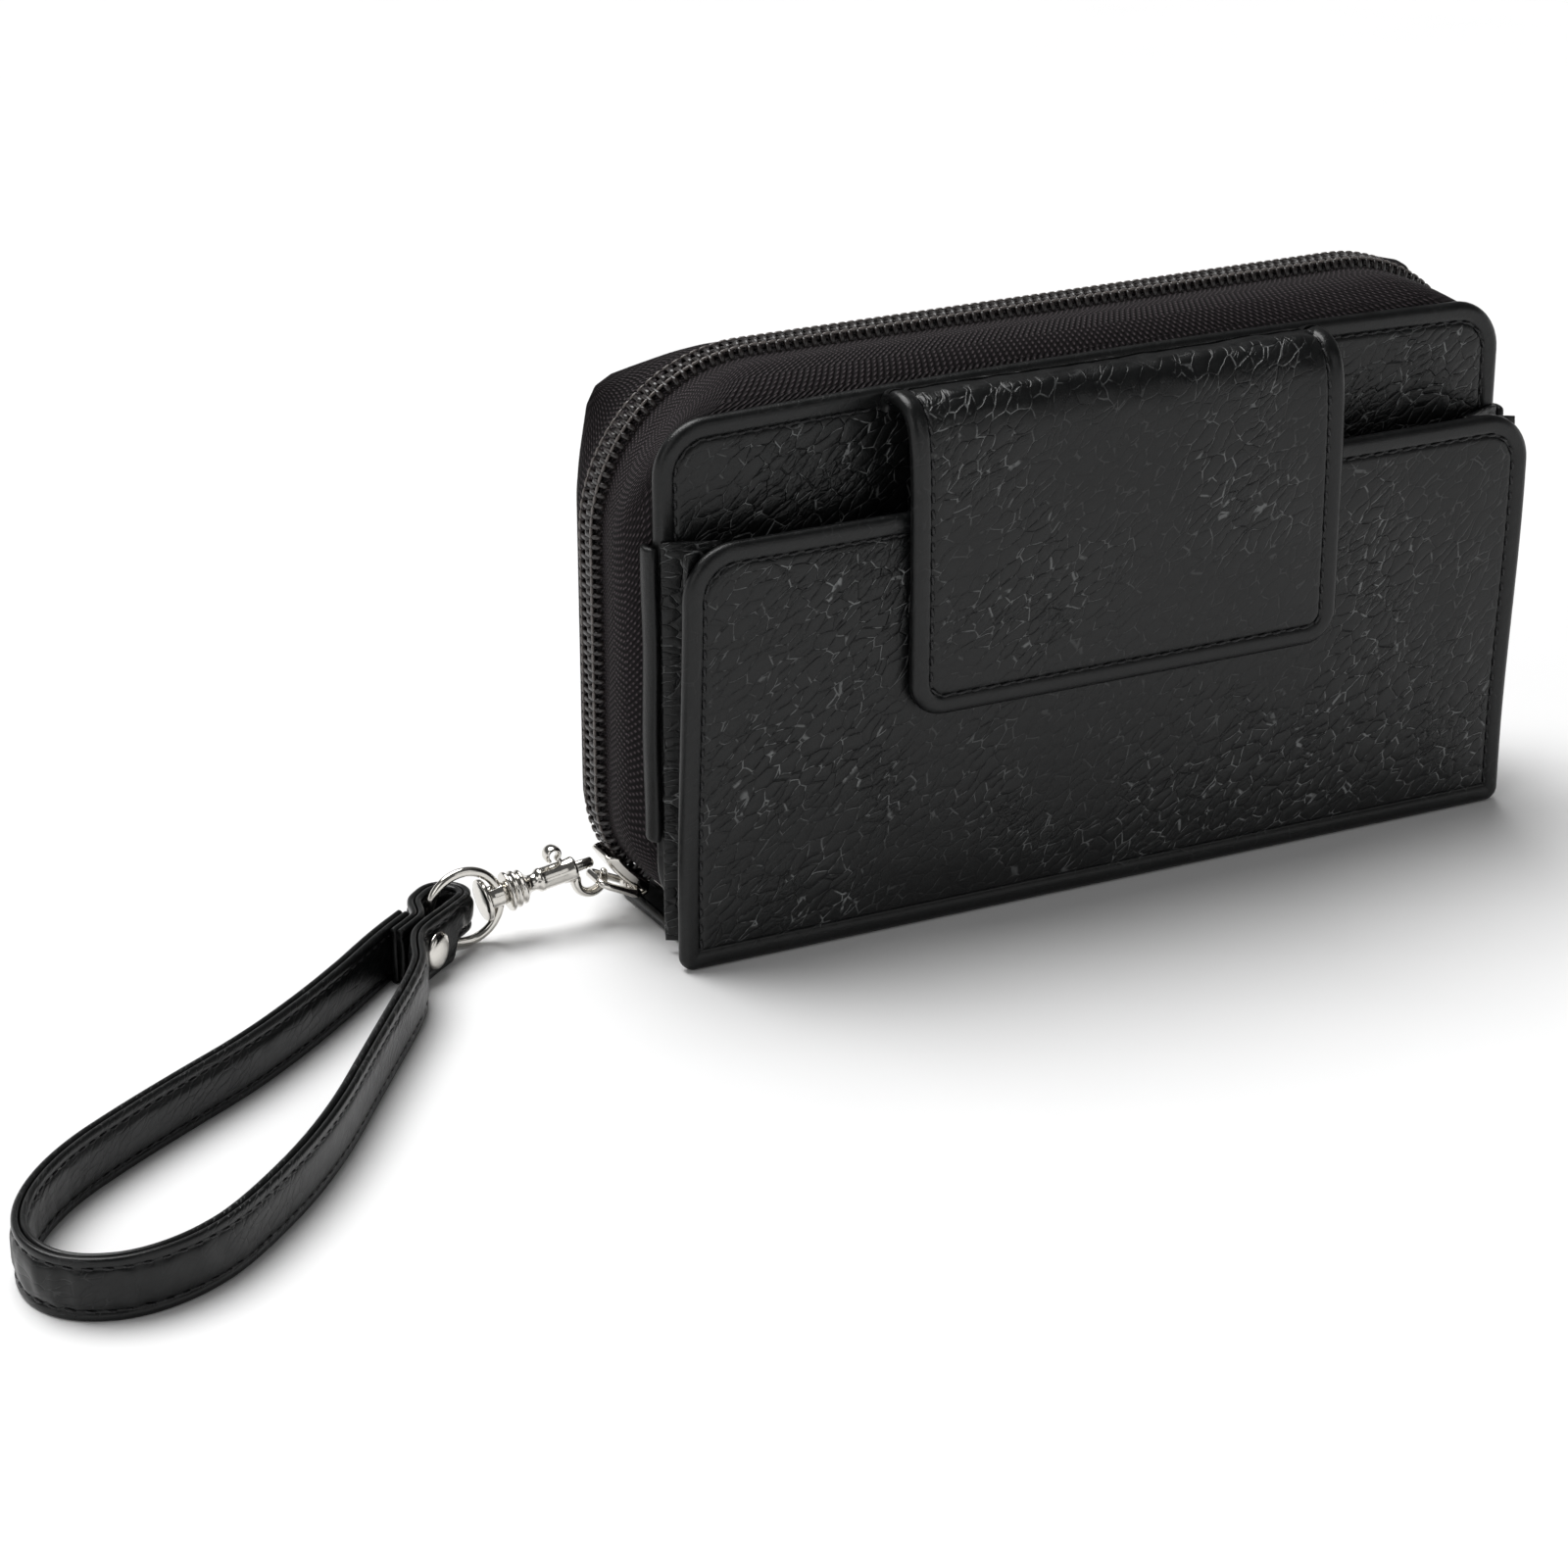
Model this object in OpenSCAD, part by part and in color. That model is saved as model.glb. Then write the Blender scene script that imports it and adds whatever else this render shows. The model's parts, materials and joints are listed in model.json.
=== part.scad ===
// Zip-around leather wristlet wallet: a case of two stiffened halves, an outside
// pocket with a magnetic flap, card and coin pockets, and a clip-on wrist strap.
// Millimetres, +Z up. The case stands on its base; the origin is the middle of the
// base, the outside pocket faces -Y and the wrist strap leaves towards -X.

/* [Case] */
// Width of the front and rear covers
case_w = 160; // [140:1:190]
// Height of the covers above the surface the case stands on
case_h = 89.7; // [78:0.5:110]
// Depth from the front cover's face to the rear cover's face
case_d = 29; // [27:0.5:36]
// Thickness of a cover with its board and lining
cover_t = 2.6; // [2.2:0.1:3.2]
// Thickness of the covers' leather
leather_t = 1.2; // [0.9:0.1:1.5]
// Thickness of the stiffening boards
board_t = 0.8; // [0.5:0.1:0.9]
// Radius of the covers' upper corners
cover_top_r = 9; // [6:0.5:14]
// Radius of the covers' lower corners
cover_low_r = 13; // [10:0.5:16]
// Thickness of the base leather
base_t = 2.4; // [1.6:0.1:3]

/* [Outside pocket] */
// Height of the pocket panel
pocket_h = 72.2; // [60:0.2:76]
// Depth from the pocket panel's face to the front cover's face
pocket_d = 9.4; // [8.4:0.1:14]
// Thickness of the pocket panel's leather
pocket_t = 2; // [1.6:0.1:2.4]
// Radius of the pocket panel's upper corners
pocket_r = 9; // [5:0.5:12]
// How far the side gussets fold inwards
gusset_in = 7; // [4:0.5:12]

/* [Zip] */
// How far the chain stands out past the covers at the sides
zip_out_side = 5.7; // [4:0.1:8]
// How far the chain stands out past the covers at the top
zip_out_top = 6.8; // [4:0.1:9]
// Distance from the front cover's face to the middle of the chain
zip_back = 17.1; // [14:0.1:19]
// Radius of the chain's upper corners
zip_top_r = 29; // [22:0.5:32]
// Radius of the chain's lower corners
zip_low_r = 20; // [18:0.5:24]
// Width of the closed chain
chain_w = 5.8; // [5:0.1:7]
// Thickness of the chain
chain_t = 2.4; // [2:0.1:3]
// Thickness of the zip tape
tape_t = 1; // [0.8:0.1:1.2]

/* [Flap] */
// Width of the flap
flap_w = 82; // [60:1:110]
// Drop of the flap below its front fold
flap_drop = 51; // [36:1:62]
// Thickness of the flap
flap_t = 2.4; // [2:0.1:3]
// Radius of the flap's lower corners
flap_r = 6; // [3:0.5:12]
// Diameter of the magnetic snap
snap_d = 15; // [12:0.5:18]

/* [Pockets inside] */
// Thickness of the pocket leather
slot_t = 0.8; // [0.6:0.1:1]
// Step from one card pocket's edge to the next
slot_step = 10; // [7:0.5:14]
// Height of the tallest card pocket
slot_h = 62; // [50:1:66]
// Thickness of the coin pocket in the middle of the case
coin_t = 5; // [4.2:0.1:6]
// Height of the coin pocket
coin_h = 72; // [60:1:74]

/* [Hardware] */
// Length of the zip slider along the chain
slider_l = 9.5; // [8:0.1:11]
// Diameter of the pull ring's wire
pull_wire = 1.3; // [1.1:0.1:1.5]
// Width of the pull ring across its wires' centres
pull_w = 6.7; // [6.2:0.1:8]
// Diameter of the snap hook's barrel
barrel_d = 3.9; // [3.5:0.1:4.6]
// Length of the snap hook's barrel
barrel_l = 6.8; // [6.4:0.1:9]
// Diameter of the sliding bolt
bolt_d = 1.9; // [1.6:0.1:2.1]
// How far the thumb knob draws the bolt back
bolt_travel = 2.6; // [2:0.1:2.8]
// Outer diameter of the swivel ring
ring_d = 14; // [13.4:0.1:16]
// Diameter of the swivel ring's wire
ring_wire = 1.6; // [1.4:0.1:1.8]

/* [Strap] */
// Width of the wrist strap
strap_w = 9.8; // [9.6:0.1:10.2]
// Thickness of one ply of the strap; there are two
ply_t = 1.2; // [0.9:0.05:1.25]
// Diameter of the rivet's caps
rivet_d = 6; // [5:0.5:7]

/* [Hidden] */

$fn = 64;
gap = 0.3;      // clearance between pieces that move past each other
fit = 0.06;     // radial running clearance of a pin in its hole
seam = 0.05;    // clearance between pieces nested in one another
eps = 0.01;

// Planes along Y, from the pocket's face at the front to the rear cover's face
y_pocket = -(pocket_d + case_d) / 2;
y_front = y_pocket + pocket_d;
y_front_in = y_front + cover_t;
y_rear = y_front + case_d;
y_rear_in = y_rear - cover_t;
y_chain = y_front + zip_back;
lining_t = cover_t - leather_t - board_t;
pocket_lining_t = 0.6;

// Chain: outer outline, and the outline its tape follows
chain_hw = case_w / 2 + zip_out_side;
chain_top = case_h + zip_out_top;
chain_low = base_t;
coil_gap = 0.9;  // slot between the two halves, which the slider's post runs in
coil_w = (chain_w - coil_gap) / 2;
arc_x = chain_hw - zip_low_r;
arc_z = chain_low + zip_low_r;
split_z = arc_z + 0.5;  // above this the rear tape belongs to the rear half
coil_end_deg = 60;      // the coils stop here on the lower corners
stop_deg = 69;          // and the metal stops begin here
turn_in = 1.5;          // how far the covers' turned edges reach in

black = [0.06, 0.06, 0.065];
cloth = [0.09, 0.085, 0.09];
nickel = [0.75, 0.74, 0.72];
board = [0.45, 0.42, 0.36];

// ---- shared shapes ----

// A quarter turn of n steps about c with radius r, from angle a0
function quarter(c, r, a0, n) =
  [for (i = [0:n]) let (a = a0 + 90 * i / n) [c[0] + r * cos(a), c[1] + r * sin(a)]];

// Rounded rectangle in X and Z: width w, from z0 to z1, low and top corner radii
module outline(w, z0, z1, r_low, r_top) {
  n = 12;
  polygon(concat(
    quarter([w / 2 - r_low, z0 + r_low], r_low, -90, n),
    quarter([w / 2 - r_top, z1 - r_top], r_top, 0, n),
    quarter([-w / 2 + r_top, z1 - r_top], r_top, 90, n),
    quarter([-w / 2 + r_low, z0 + r_low], r_low, 180, n)
  ));
}

// A flat sheet of the 2D child, standing in X and Z, from y to y + t
module sheet(y, t) {
  translate([0, y + t, 0]) rotate([90, 0, 0]) linear_extrude(height = t) children();
}

// A bar or hole along Y
module bar_y(x, y0, y1, z, r) {
  translate([x, y1, z]) rotate([90, 0, 0]) cylinder(h = y1 - y0, r = r);
}

module cover_shape(inset, z0) {
  outline(case_w - 2 * inset, z0 + inset, case_h - inset,
          cover_low_r - inset, cover_top_r - inset);
}

module chain_shape(inset) {
  outline(2 * (chain_hw - inset), chain_low + inset, chain_top - inset,
          zip_low_r - inset, zip_top_r - inset);
}

// Points of a U-shaped path up the left side, over the top and down the right:
// half width hw, lowest z0, top z1, low and top radii. It starts and ends at the
// angle a0 on the lower corners, measured up from straight down.
function u_path(hw, z0, z1, rl, rt, a0, n) = concat(
  [for (i = [0:n]) let (a = a0 + (90 - a0) * i / n)
    [-hw + rl - rl * sin(a), z0 + rl - rl * cos(a)]],
  [for (i = [0:n]) let (a = 90 * i / n)
    [-hw + rt - rt * cos(a), z1 - rt + rt * sin(a)]],
  [for (i = [0:n]) let (a = 90 * i / n)
    [hw - rt + rt * sin(a), z1 - rt + rt * cos(a)]],
  [for (i = [0:n]) let (a = 90 - (90 - a0) * i / n)
    [hw - rl + rl * sin(a), z0 + rl - rl * cos(a)]]
);

// The left lower corner of the same path only, up to z_end
function corner_path(hw, z0, rl, z_end, n) = concat(
  [for (i = [0:n]) let (a = 90 * i / n)
    [-hw + rl - rl * sin(a), z0 + rl - rl * cos(a)]],
  [[-hw, z_end]]
);

// The same path's upper part only, from z_end on the left to z_end on the right
function upper_path(hw, z1, rt, z_end, n) = concat(
  [[-hw, z_end]],
  [for (i = [0:n]) let (a = 90 * i / n)
    [-hw + rt - rt * cos(a), z1 - rt + rt * sin(a)]],
  [for (i = [0:n]) let (a = 90 * i / n)
    [hw - rt + rt * sin(a), z1 - rt + rt * cos(a)]],
  [[hw, z_end]]
);

// A band through matching paths: each station is [y, outer path, inner path]
module band(stations) {
  m = len(stations);
  n = len(stations[0][1]);
  k = 2 * m;
  ring = function (i) concat(
    [for (s = stations) [s[1][i][0], s[0], s[1][i][1]]],
    [for (j = [m - 1:-1:0]) let (s = stations[j]) [s[2][i][0], s[0], s[2][i][1]]]
  );
  pts = [for (i = [0:n - 1]) each ring(i)];
  sides = [for (i = [0:n - 2]) for (j = [0:k - 1])
    let (a = i * k + j, b = i * k + (j + 1) % k)
    each [[a, b, b + k], [a, b + k, a + k]]];
  start = [for (j = [0:m - 2]) each [[k - 1 - j, k - 2 - j, j + 1], [k - 1 - j, j + 1, j]]];
  last = (n - 1) * k;
  finish = [for (f = start) [f[2] + last, f[1] + last, f[0] + last]];
  polyhedron(points = pts, faces = concat(sides, start, finish));
}

// ---- base ----

spine_w = 2 * arc_x;

module base_panel() {
  color(black) {
    translate([-case_w / 2 + 1, y_pocket + pocket_t + pocket_lining_t, 0])
      cube([case_w - 2, y_front_in - y_pocket - pocket_t - pocket_lining_t, base_t]);
    translate([-spine_w / 2, y_front_in - eps, 0])
      cube([spine_w, y_rear - y_front_in + eps, base_t]);
  }
}

module base_lining() {
  color(cloth)
    translate([-spine_w / 2 + 1, y_front_in, base_t])
      cube([spine_w - 2, y_rear_in - y_front_in - 1, 0.5]);
}

// ---- outside pocket ----

snap_z = 48;  // height of the magnetic snap

module pocket_panel() {
  color(black)
    difference() {
      sheet(y_pocket, pocket_t) outline(case_w, 0, pocket_h, 2, pocket_r);
      bar_y(0, y_pocket - 1, y_pocket + pocket_t + 1, snap_z, snap_d / 2 + seam);
    }
}

module pocket_lining() {
  color(cloth)
    sheet(y_pocket + pocket_t, pocket_lining_t)
      outline(case_w - 4, base_t, pocket_h - 2, 2, pocket_r - 2);
}

// Leather fold between the pocket panel and the front cover, with a flange that
// wraps the cover's edge
module pocket_gusset() {
  y_a = y_pocket + pocket_t + pocket_lining_t;
  y_m = (y_a + y_front) / 2;
  x_a = case_w / 2 - 1.6;
  x_in = x_a - gusset_in;
  t = 1;
  flange_x = case_w / 2 + seam;
  color(black) {
    translate([0, 0, base_t]) linear_extrude(height = pocket_h - base_t - 4)
      polygon([[x_a, y_a], [x_a, y_a + t], [x_in + t * 1.4, y_m], [x_a, y_front - t],
               [flange_x, y_front - t], [flange_x, y_front], [x_a - t, y_front],
               [x_in, y_m], [x_a - t - 1, y_a]]);
    translate([flange_x - eps, y_front - t, 20])
      cube([t, t + cover_t, pocket_h - 24]);
  }
}

module pocket_gusset_left() {
  mirror([1, 0, 0]) pocket_gusset();
}

module pocket_gusset_right() {
  pocket_gusset();
}

boss_r = 3;     // the stud's round nose
boss_l = 1.5;

module snap_socket() {
  color(nickel)
    difference() {
      bar_y(0, y_pocket, y_pocket + pocket_t - 0.4, snap_z, snap_d / 2);
      bar_y(0, y_pocket - 1, y_pocket + boss_l - 0.1, snap_z, boss_r + 0.4);
    }
}

module socket_washer() {
  color(nickel)
    bar_y(0, y_pocket + pocket_t - 0.4, y_pocket + pocket_t, snap_z, snap_d / 2);
}

// ---- covers, boards and linings ----

// Leather cover with its edges turned in; the face is at y and dir points inwards
module cover(y, dir, z0) {
  color(black)
    difference() {
      sheet(min(y, y + dir * cover_t), cover_t) cover_shape(0, z0);
      sheet(min(y + dir * leather_t, y + dir * (cover_t + 1)), cover_t - leather_t + 1)
        cover_shape(turn_in, z0);
    }
}

module cover_board(y, dir, z0) {
  color(board)
    sheet(min(y + dir * leather_t, y + dir * (leather_t + board_t)), board_t)
      cover_shape(turn_in + seam, z0);
}

module cover_lining(y, dir, z0) {
  color(cloth)
    sheet(min(y + dir * (leather_t + board_t), y + dir * cover_t), lining_t)
      cover_shape(turn_in + seam, z0);
}

module front_cover() { cover(y_front, 1, base_t); }
module front_board() { cover_board(y_front, 1, base_t); }
module front_lining() { cover_lining(y_front, 1, base_t); }
module rear_cover() { cover(y_rear, -1, base_t + gap); }
module rear_board() { cover_board(y_rear, -1, base_t + gap); }
module rear_lining() { cover_lining(y_rear, -1, base_t + gap); }

// ---- main zip ----

// Stations of a tape from the chain to a cover's turned edge. Its flat strip under
// the coil is as wide as the slider, then it runs in to the cover
flat_w = chain_w / 2 + 1.4;
path_n = 12;

// Outline of the tape's outer side (layer 0) or inner side (layer 1) at share f of
// the way from the chain to the cover, for one of the three kinds of path
function tape_path(kind, f, layer) = let (
  in = layer * tape_t,
  sunk = chain_t + seam,
  hw = (chain_hw - sunk) * (1 - f) + (case_w / 2 - 0.6) * f - in,
  z0 = (chain_low + sunk) * (1 - f) + (base_t + 0.8) * f + in,
  z1 = (chain_top - sunk) * (1 - f) + (case_h - 0.6) * f - in,
  rl = (zip_low_r - sunk) * (1 - f) + (cover_low_r - 0.6) * f - in,
  rt = (zip_top_r - sunk) * (1 - f) + (cover_top_r - 0.6) * f - in
) kind == "whole" ? u_path(hw, z0, z1, rl, rt, 0, path_n)
  : kind == "corner" ? corner_path(hw, z0, rl, split_z - gap, path_n)
  : upper_path(hw, z1, rt, split_z, path_n);

module tape(kind, dir, y_cover) {
  y_a = y_chain + dir * coil_gap / 2;
  y_b = y_chain + dir * flat_w;
  y_m = (y_b + y_cover) / 2;
  list = [for (s = [[y_a, 0], [y_b, 0], [y_m, 0.35], [y_cover, 1]])
    [s[0], tape_path(kind, s[1], 0), tape_path(kind, s[1], 1)]];
  color(cloth)
    if (dir < 0) band(list);
    else band([for (i = [len(list) - 1:-1:0]) list[i]]);
}

module front_tape() { tape("whole", -1, y_front_in); }
module rear_tape() { tape("upper", 1, y_rear_in); }
module rear_tape_end_left() { tape("corner", 1, y_rear_in - gap); }
module rear_tape_end_right() { mirror([1, 0, 0]) rear_tape_end_left(); }

// One half of the chain, all the way round, between heights z_a and z_b
module coil(dir, z_a, z_b) {
  y_a = y_chain + dir * coil_gap / 2;
  y_b = y_chain + dir * chain_w / 2;
  color(black)
    intersection() {
      difference() {
        sheet(min(y_a, y_b), coil_w) chain_shape(0);
        sheet(min(y_a, y_b) - 1, coil_w + 2) chain_shape(chain_t);
      }
      translate([-chain_hw - 1, y_chain - chain_w, z_a])
        cube([2 * chain_hw + 2, 2 * chain_w, z_b - z_a]);
    }
}

coil_end_z = arc_z - (zip_low_r - chain_t / 2) * sin(coil_end_deg);

module front_coil() { coil(-1, coil_end_z, chain_top + 1); }
module rear_coil() { coil(1, split_z, chain_top + 1); }

module rear_coil_end_left() {
  intersection() {
    coil(1, coil_end_z, split_z - gap);
    translate([-chain_hw - 2, y_chain, 0]) cube([chain_hw, 20, split_z]);
  }
}

module rear_coil_end_right() { mirror([1, 0, 0]) rear_coil_end_left(); }

// A ring sector about a lower corner of the chain, square in section, between radii
// and between angles measured from level towards straight down
module sector(r0, r1, y0, y1, a0, a1) {
  translate([-arc_x, 0, arc_z])
    rotate([90, 0, 0])
      rotate([0, 0, 180 + a0])
        rotate_extrude(angle = a1 - a0, $fn = 96)
          translate([r0, -y1]) square([r1 - r0, y1 - y0]);
}

module zip_stops() {
  r_in = zip_low_r - chain_t;
  color(nickel)
    for (side = [0, 1]) {
      mirror([side, 0, 0])
        sector(r_in, zip_low_r, y_chain - 2.4, y_chain + 2.4, stop_deg, stop_deg + 6);
    }
}

// ---- pockets inside the case ----

module pocket_leaf(y, w, z0, z1) {
  color(black)
    sheet(y, slot_t) outline(w, z0, z1, cover_low_r - 3, 1);
}

slot_w = case_w - 10;
slot_z = base_t + 2.8;

module card_pocket_tall() {
  pocket_leaf(y_front_in, slot_w, slot_z, slot_z + slot_h);
}

module card_pocket_middle() {
  pocket_leaf(y_front_in + slot_t, slot_w, slot_z, slot_z + slot_h - slot_step);
}

module card_pocket_short() {
  pocket_leaf(y_front_in + 2 * slot_t, slot_w, slot_z, slot_z + slot_h - 2 * slot_step);
}

module bill_pocket() {
  pocket_leaf(y_rear_in - slot_t, slot_w, slot_z, slot_z + slot_h + 4);
}

module rear_card_pocket_tall() {
  pocket_leaf(y_rear_in - 2 * slot_t, slot_w, slot_z, slot_z + slot_h - slot_step);
}

module rear_card_pocket_short() {
  pocket_leaf(y_rear_in - 3 * slot_t, slot_w, slot_z, slot_z + slot_h - 2 * slot_step);
}

// ---- coin pocket, which leans back between the halves as the case opens ----

coin_w = case_w - 20;
coin_r = cover_low_r + 1;
y_coin = (y_front_in + 3 * slot_t + y_rear_in - 3 * slot_t) / 2 - coin_t / 2;
coin_z = base_t + 1.2;
coin_top = coin_z + coin_h;
coin_hem = 6;          // height of the tapes at the coin pocket's mouth
coin_chain_t = 1.6;

module coin_side(y) {
  color(cloth)
    sheet(y, slot_t) outline(coin_w, coin_z, coin_top - coin_hem + 2, coin_r, 1);
}

module coin_pocket_front() {
  coin_side(y_coin);
}

// The back side also closes the pocket at the ends and the bottom
module coin_pocket_back() {
  y = y_coin + slot_t;
  t = coin_t - slot_t;
  color(cloth)
    difference() {
      sheet(y, t) outline(coin_w, coin_z, coin_top - coin_hem + 2, coin_r, 1);
      sheet(y - 1, t - slot_t + 1)
        outline(coin_w - 3, coin_z + 1.5, coin_top + 2, coin_r - 1.5, 1);
    }
}

module coin_zip_tape() {
  y_mid = y_coin + coin_t / 2;
  color(cloth)
    for (side = [-1, 1]) {
      translate([-coin_w / 2 + 3, y_mid + side * 0.9 - 0.25, coin_top - coin_hem + 2])
        cube([coin_w - 6, 0.5, coin_hem - 2]);
    }
}

module coin_zip_chain() {
  color(black)
    translate([-coin_w / 2 + 3, y_coin + coin_t / 2 - 1.15, coin_top])
      cube([coin_w - 6, 2.3, coin_chain_t]);
}

coin_slider_x = -coin_w / 2 + 12;
coin_slider_l = 7;
coin_pull_off = coin_t / 2 + 0.8;  // how far in front of the chain its pull hangs

module coin_slider() {
  y_mid = y_coin + coin_t / 2;
  z = coin_top - 0.9;
  color(nickel)
    difference() {
      union() {
        translate([coin_slider_x - coin_slider_l / 2, y_mid - 2.2, z])
          cube([coin_slider_l, 4.4, coin_chain_t + 2]);
        translate([coin_slider_x - 1.5, y_mid - coin_pull_off - 0.8, z + 1.1]) cube([3, 2.3, 1.6]);
      }
      translate([coin_slider_x - coin_slider_l, y_mid - 1.15 - gap, z - 1])
        cube([2 * coin_slider_l, 2.3 + 2 * gap, coin_chain_t + 1.9 + gap]);
      translate([coin_slider_x - 2, y_mid - coin_pull_off, z + 1.9])
        rotate([0, 90, 0]) cylinder(h = 4, r = 0.35 + fit);
    }
}

coin_pull_l = 12;

module coin_pull() {
  y = y_coin + coin_t / 2 - coin_pull_off;
  z = coin_top + 1;
  color(nickel) {
    translate([coin_slider_x - 2.6, y, z]) rotate([0, 90, 0]) cylinder(h = 5.2, r = 0.35);
    for (x = [-2.6, 1.8]) {
      translate([coin_slider_x + x, y - 0.35, z - 3]) cube([0.8, 0.7, 3]);
    }
    translate([coin_slider_x - 2.6, y - 0.35, z - coin_pull_l]) cube([5.2, 0.7, 9.2]);
  }
}

// ---- flap ----

fold_r = flap_t / 2;
flap_y = y_pocket - 0.6 - fold_r;    // middle of the hanging part
flap_z = case_h - 0.5;               // middle of the part that crosses the pocket
root_y = y_front - 0.35 - fold_r;    // hinge line at the front cover
flap_low = flap_z - flap_drop;

module bar_x(w, y, z, r) {
  translate([-w / 2, y, z]) rotate([0, 90, 0]) cylinder(h = w, r = r);
}

module flap_bridge() {
  y_a = flap_y + fold_r + gap;
  color(black) {
    bar_x(flap_w, root_y, flap_z, fold_r);
    translate([-flap_w / 2, y_a, flap_z - fold_r])
      cube([flap_w, root_y - y_a, flap_t]);
  }
}

flap_lining_t = 0.6;

module flap_panel() {
  t = flap_t - flap_lining_t;
  y = flap_y - fold_r;
  color(black)
    difference() {
      union() {
        bar_x(flap_w, flap_y, flap_z, fold_r);
        sheet(y, t) outline(flap_w, flap_low, flap_z, flap_r, 0.5);
      }
      bar_y(0, y + 0.8, y + flap_t + 1, snap_z, snap_d / 2 + seam);
      translate([-flap_w / 2 + 1.5, y + t, flap_z - 60]) cube([flap_w - 3, 2, 58]);
    }
}

module flap_lining() {
  y = flap_y + fold_r - flap_lining_t;
  color(black)
    difference() {
      sheet(y, flap_lining_t)
        outline(flap_w - 3 - 2 * seam, flap_low + 1.5, flap_z - 2 - seam, flap_r - 1.5, 1);
      bar_y(0, y - 1, y + 1, snap_z, snap_d / 2 + seam);
    }
}

module snap_stud() {
  y = flap_y + fold_r;
  color(nickel) {
    bar_y(0, y - 1, y + 0.2, snap_z, snap_d / 2);
    bar_y(0, y, y_pocket + boss_l - 0.4, snap_z, boss_r);
  }
}

module stud_washer() {
  y = flap_y - fold_r + 0.8;
  color(nickel)
    bar_y(0, y, flap_y + fold_r - 1, snap_z, snap_d / 2);
}

// ---- main slider and its pull ring ----

slider_deg = 45;                          // where the slider stands on the corner
slider_half = slider_l / 2 / (zip_low_r - chain_t / 2) * 180 / PI;
plate_t = 0.7;
plate_r = zip_low_r + gap;                // inside of the outer plate
slider_hw = chain_w / 2 + 0.9;
post_t = 0.7;
lug_deg = 56;                             // the pull ring's bar, on the outer plate
lug_r = plate_r + plate_t + pull_wire / 2 + 0.25;
lug_x = -arc_x - lug_r * cos(lug_deg);
lug_z = arc_z - lug_r * sin(lug_deg);

module slider_body() {
  a0 = slider_deg - slider_half;
  a1 = slider_deg + slider_half;
  r_tape = zip_low_r - chain_t;
  r_in = r_tape - tape_t - gap;
  y0 = y_chain - slider_hw;
  y1 = y_chain + slider_hw;
  color(nickel) {
    sector(plate_r, plate_r + plate_t, y0, y1, a0, a1);
    sector(r_in - plate_t, r_in, y0, y1, a0, a1);
    for (y = [y0, y1 - 0.6]) {
      sector(r_tape + gap, plate_r + eps, y, y + 0.6, a0, a1);
    }
    sector(r_in - eps, plate_r + eps, y_chain - post_t / 2, y_chain + post_t / 2,
           a1 - 6, a1 - 0.5);
    difference() {
      sector(plate_r + plate_t - eps, plate_r + plate_t + pull_wire + 1,
             y_chain - 1.1, y_chain + 1.1, lug_deg - 6, a1);
      bar_y(lug_x, y_chain - 2, y_chain + 2, lug_z, pull_wire / 2 + fit);
    }
  }
}

// Snap hook frame: u runs along the barrel from the swivel towards the slider.
// The swivel ring stands on the table and the hook's eye stands at the slider's
// lug, so the hook's tilt and the swivel's place follow from the two.
ring_r = (ring_d - ring_wire) / 2;
eye_r = 1.9;
jaw_wire = 1.3;
barrel_u = 7;
barrel_end = barrel_u + barrel_l;
eye_u = barrel_end + 2.35;
eye_w = -2.6;
eye_out = 7.7957;  // the eye's centre, outwards from the lug
eye_up = 3.6843;   // and above it
eye_z = lug_z + eye_up;
hook_tilt = asin((eye_z - ring_d / 2) / norm([ring_r + eye_u, eye_w]))
  - atan2(eye_w, ring_r + eye_u);
swivel_x = lug_x - eye_out - eye_u * cos(hook_tilt) + eye_w * sin(hook_tilt);
swivel_z = ring_d / 2 + ring_r * sin(hook_tilt);

module hook_frame() {
  translate([swivel_x, y_chain, swivel_z]) rotate([0, -hook_tilt, 0]) children();
}

function hook_xz(u, w) = [
  swivel_x + u * cos(hook_tilt) - w * sin(hook_tilt),
  swivel_z + u * sin(hook_tilt) + w * cos(hook_tilt)
];

pull_far = hook_xz(eye_u + 0.85, eye_w - 0.55);  // the far bar, inside the eye
pull_len = norm([pull_far[0] - lug_x, pull_far[1] - lug_z]);
pull_deg = atan2(pull_far[1] - lug_z, lug_x - pull_far[0]);

// A ring of wire with two straight bars along Y and half-round ends
module pull_ring() {
  r = pull_wire / 2;
  end_r = pull_w / 2;
  color(nickel)
    translate([lug_x, y_chain, lug_z]) rotate([0, pull_deg, 0]) mirror([1, 0, 0]) {
      bend = min(1.6, pull_len / 2 - 0.2);
      side = end_r - bend;
      for (x = [0, pull_len]) {
        translate([x, side, 0]) rotate([90, 0, 0]) cylinder(h = 2 * side, r = r);
      }
      for (s = [-1, 1]) {
        translate([bend, s * end_r, 0]) rotate([0, 90, 0])
          cylinder(h = pull_len - 2 * bend, r = r);
      }
      for (c = [[bend, side, 90], [bend, -side, 180],
                [pull_len - bend, -side, 270], [pull_len - bend, side, 0]]) {
        translate([c[0], c[1], 0]) rotate([0, 0, c[2]])
          rotate_extrude(angle = 90) translate([bend, 0]) circle(r, $fn = 32);
      }
    }
}

// ---- snap hook ----

module rod_u(u0, u1, r0, r1) {
  translate([u0, 0, 0]) rotate([0, 90, 0]) cylinder(h = u1 - u0, r1 = r0, r2 = r1);
}

shank_r = 1;
hub_back = 2.2;   // the swivel ring's hub along the shank, either side of its wire
hub_front = 1.1;
knob_slot = 1.2;

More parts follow.
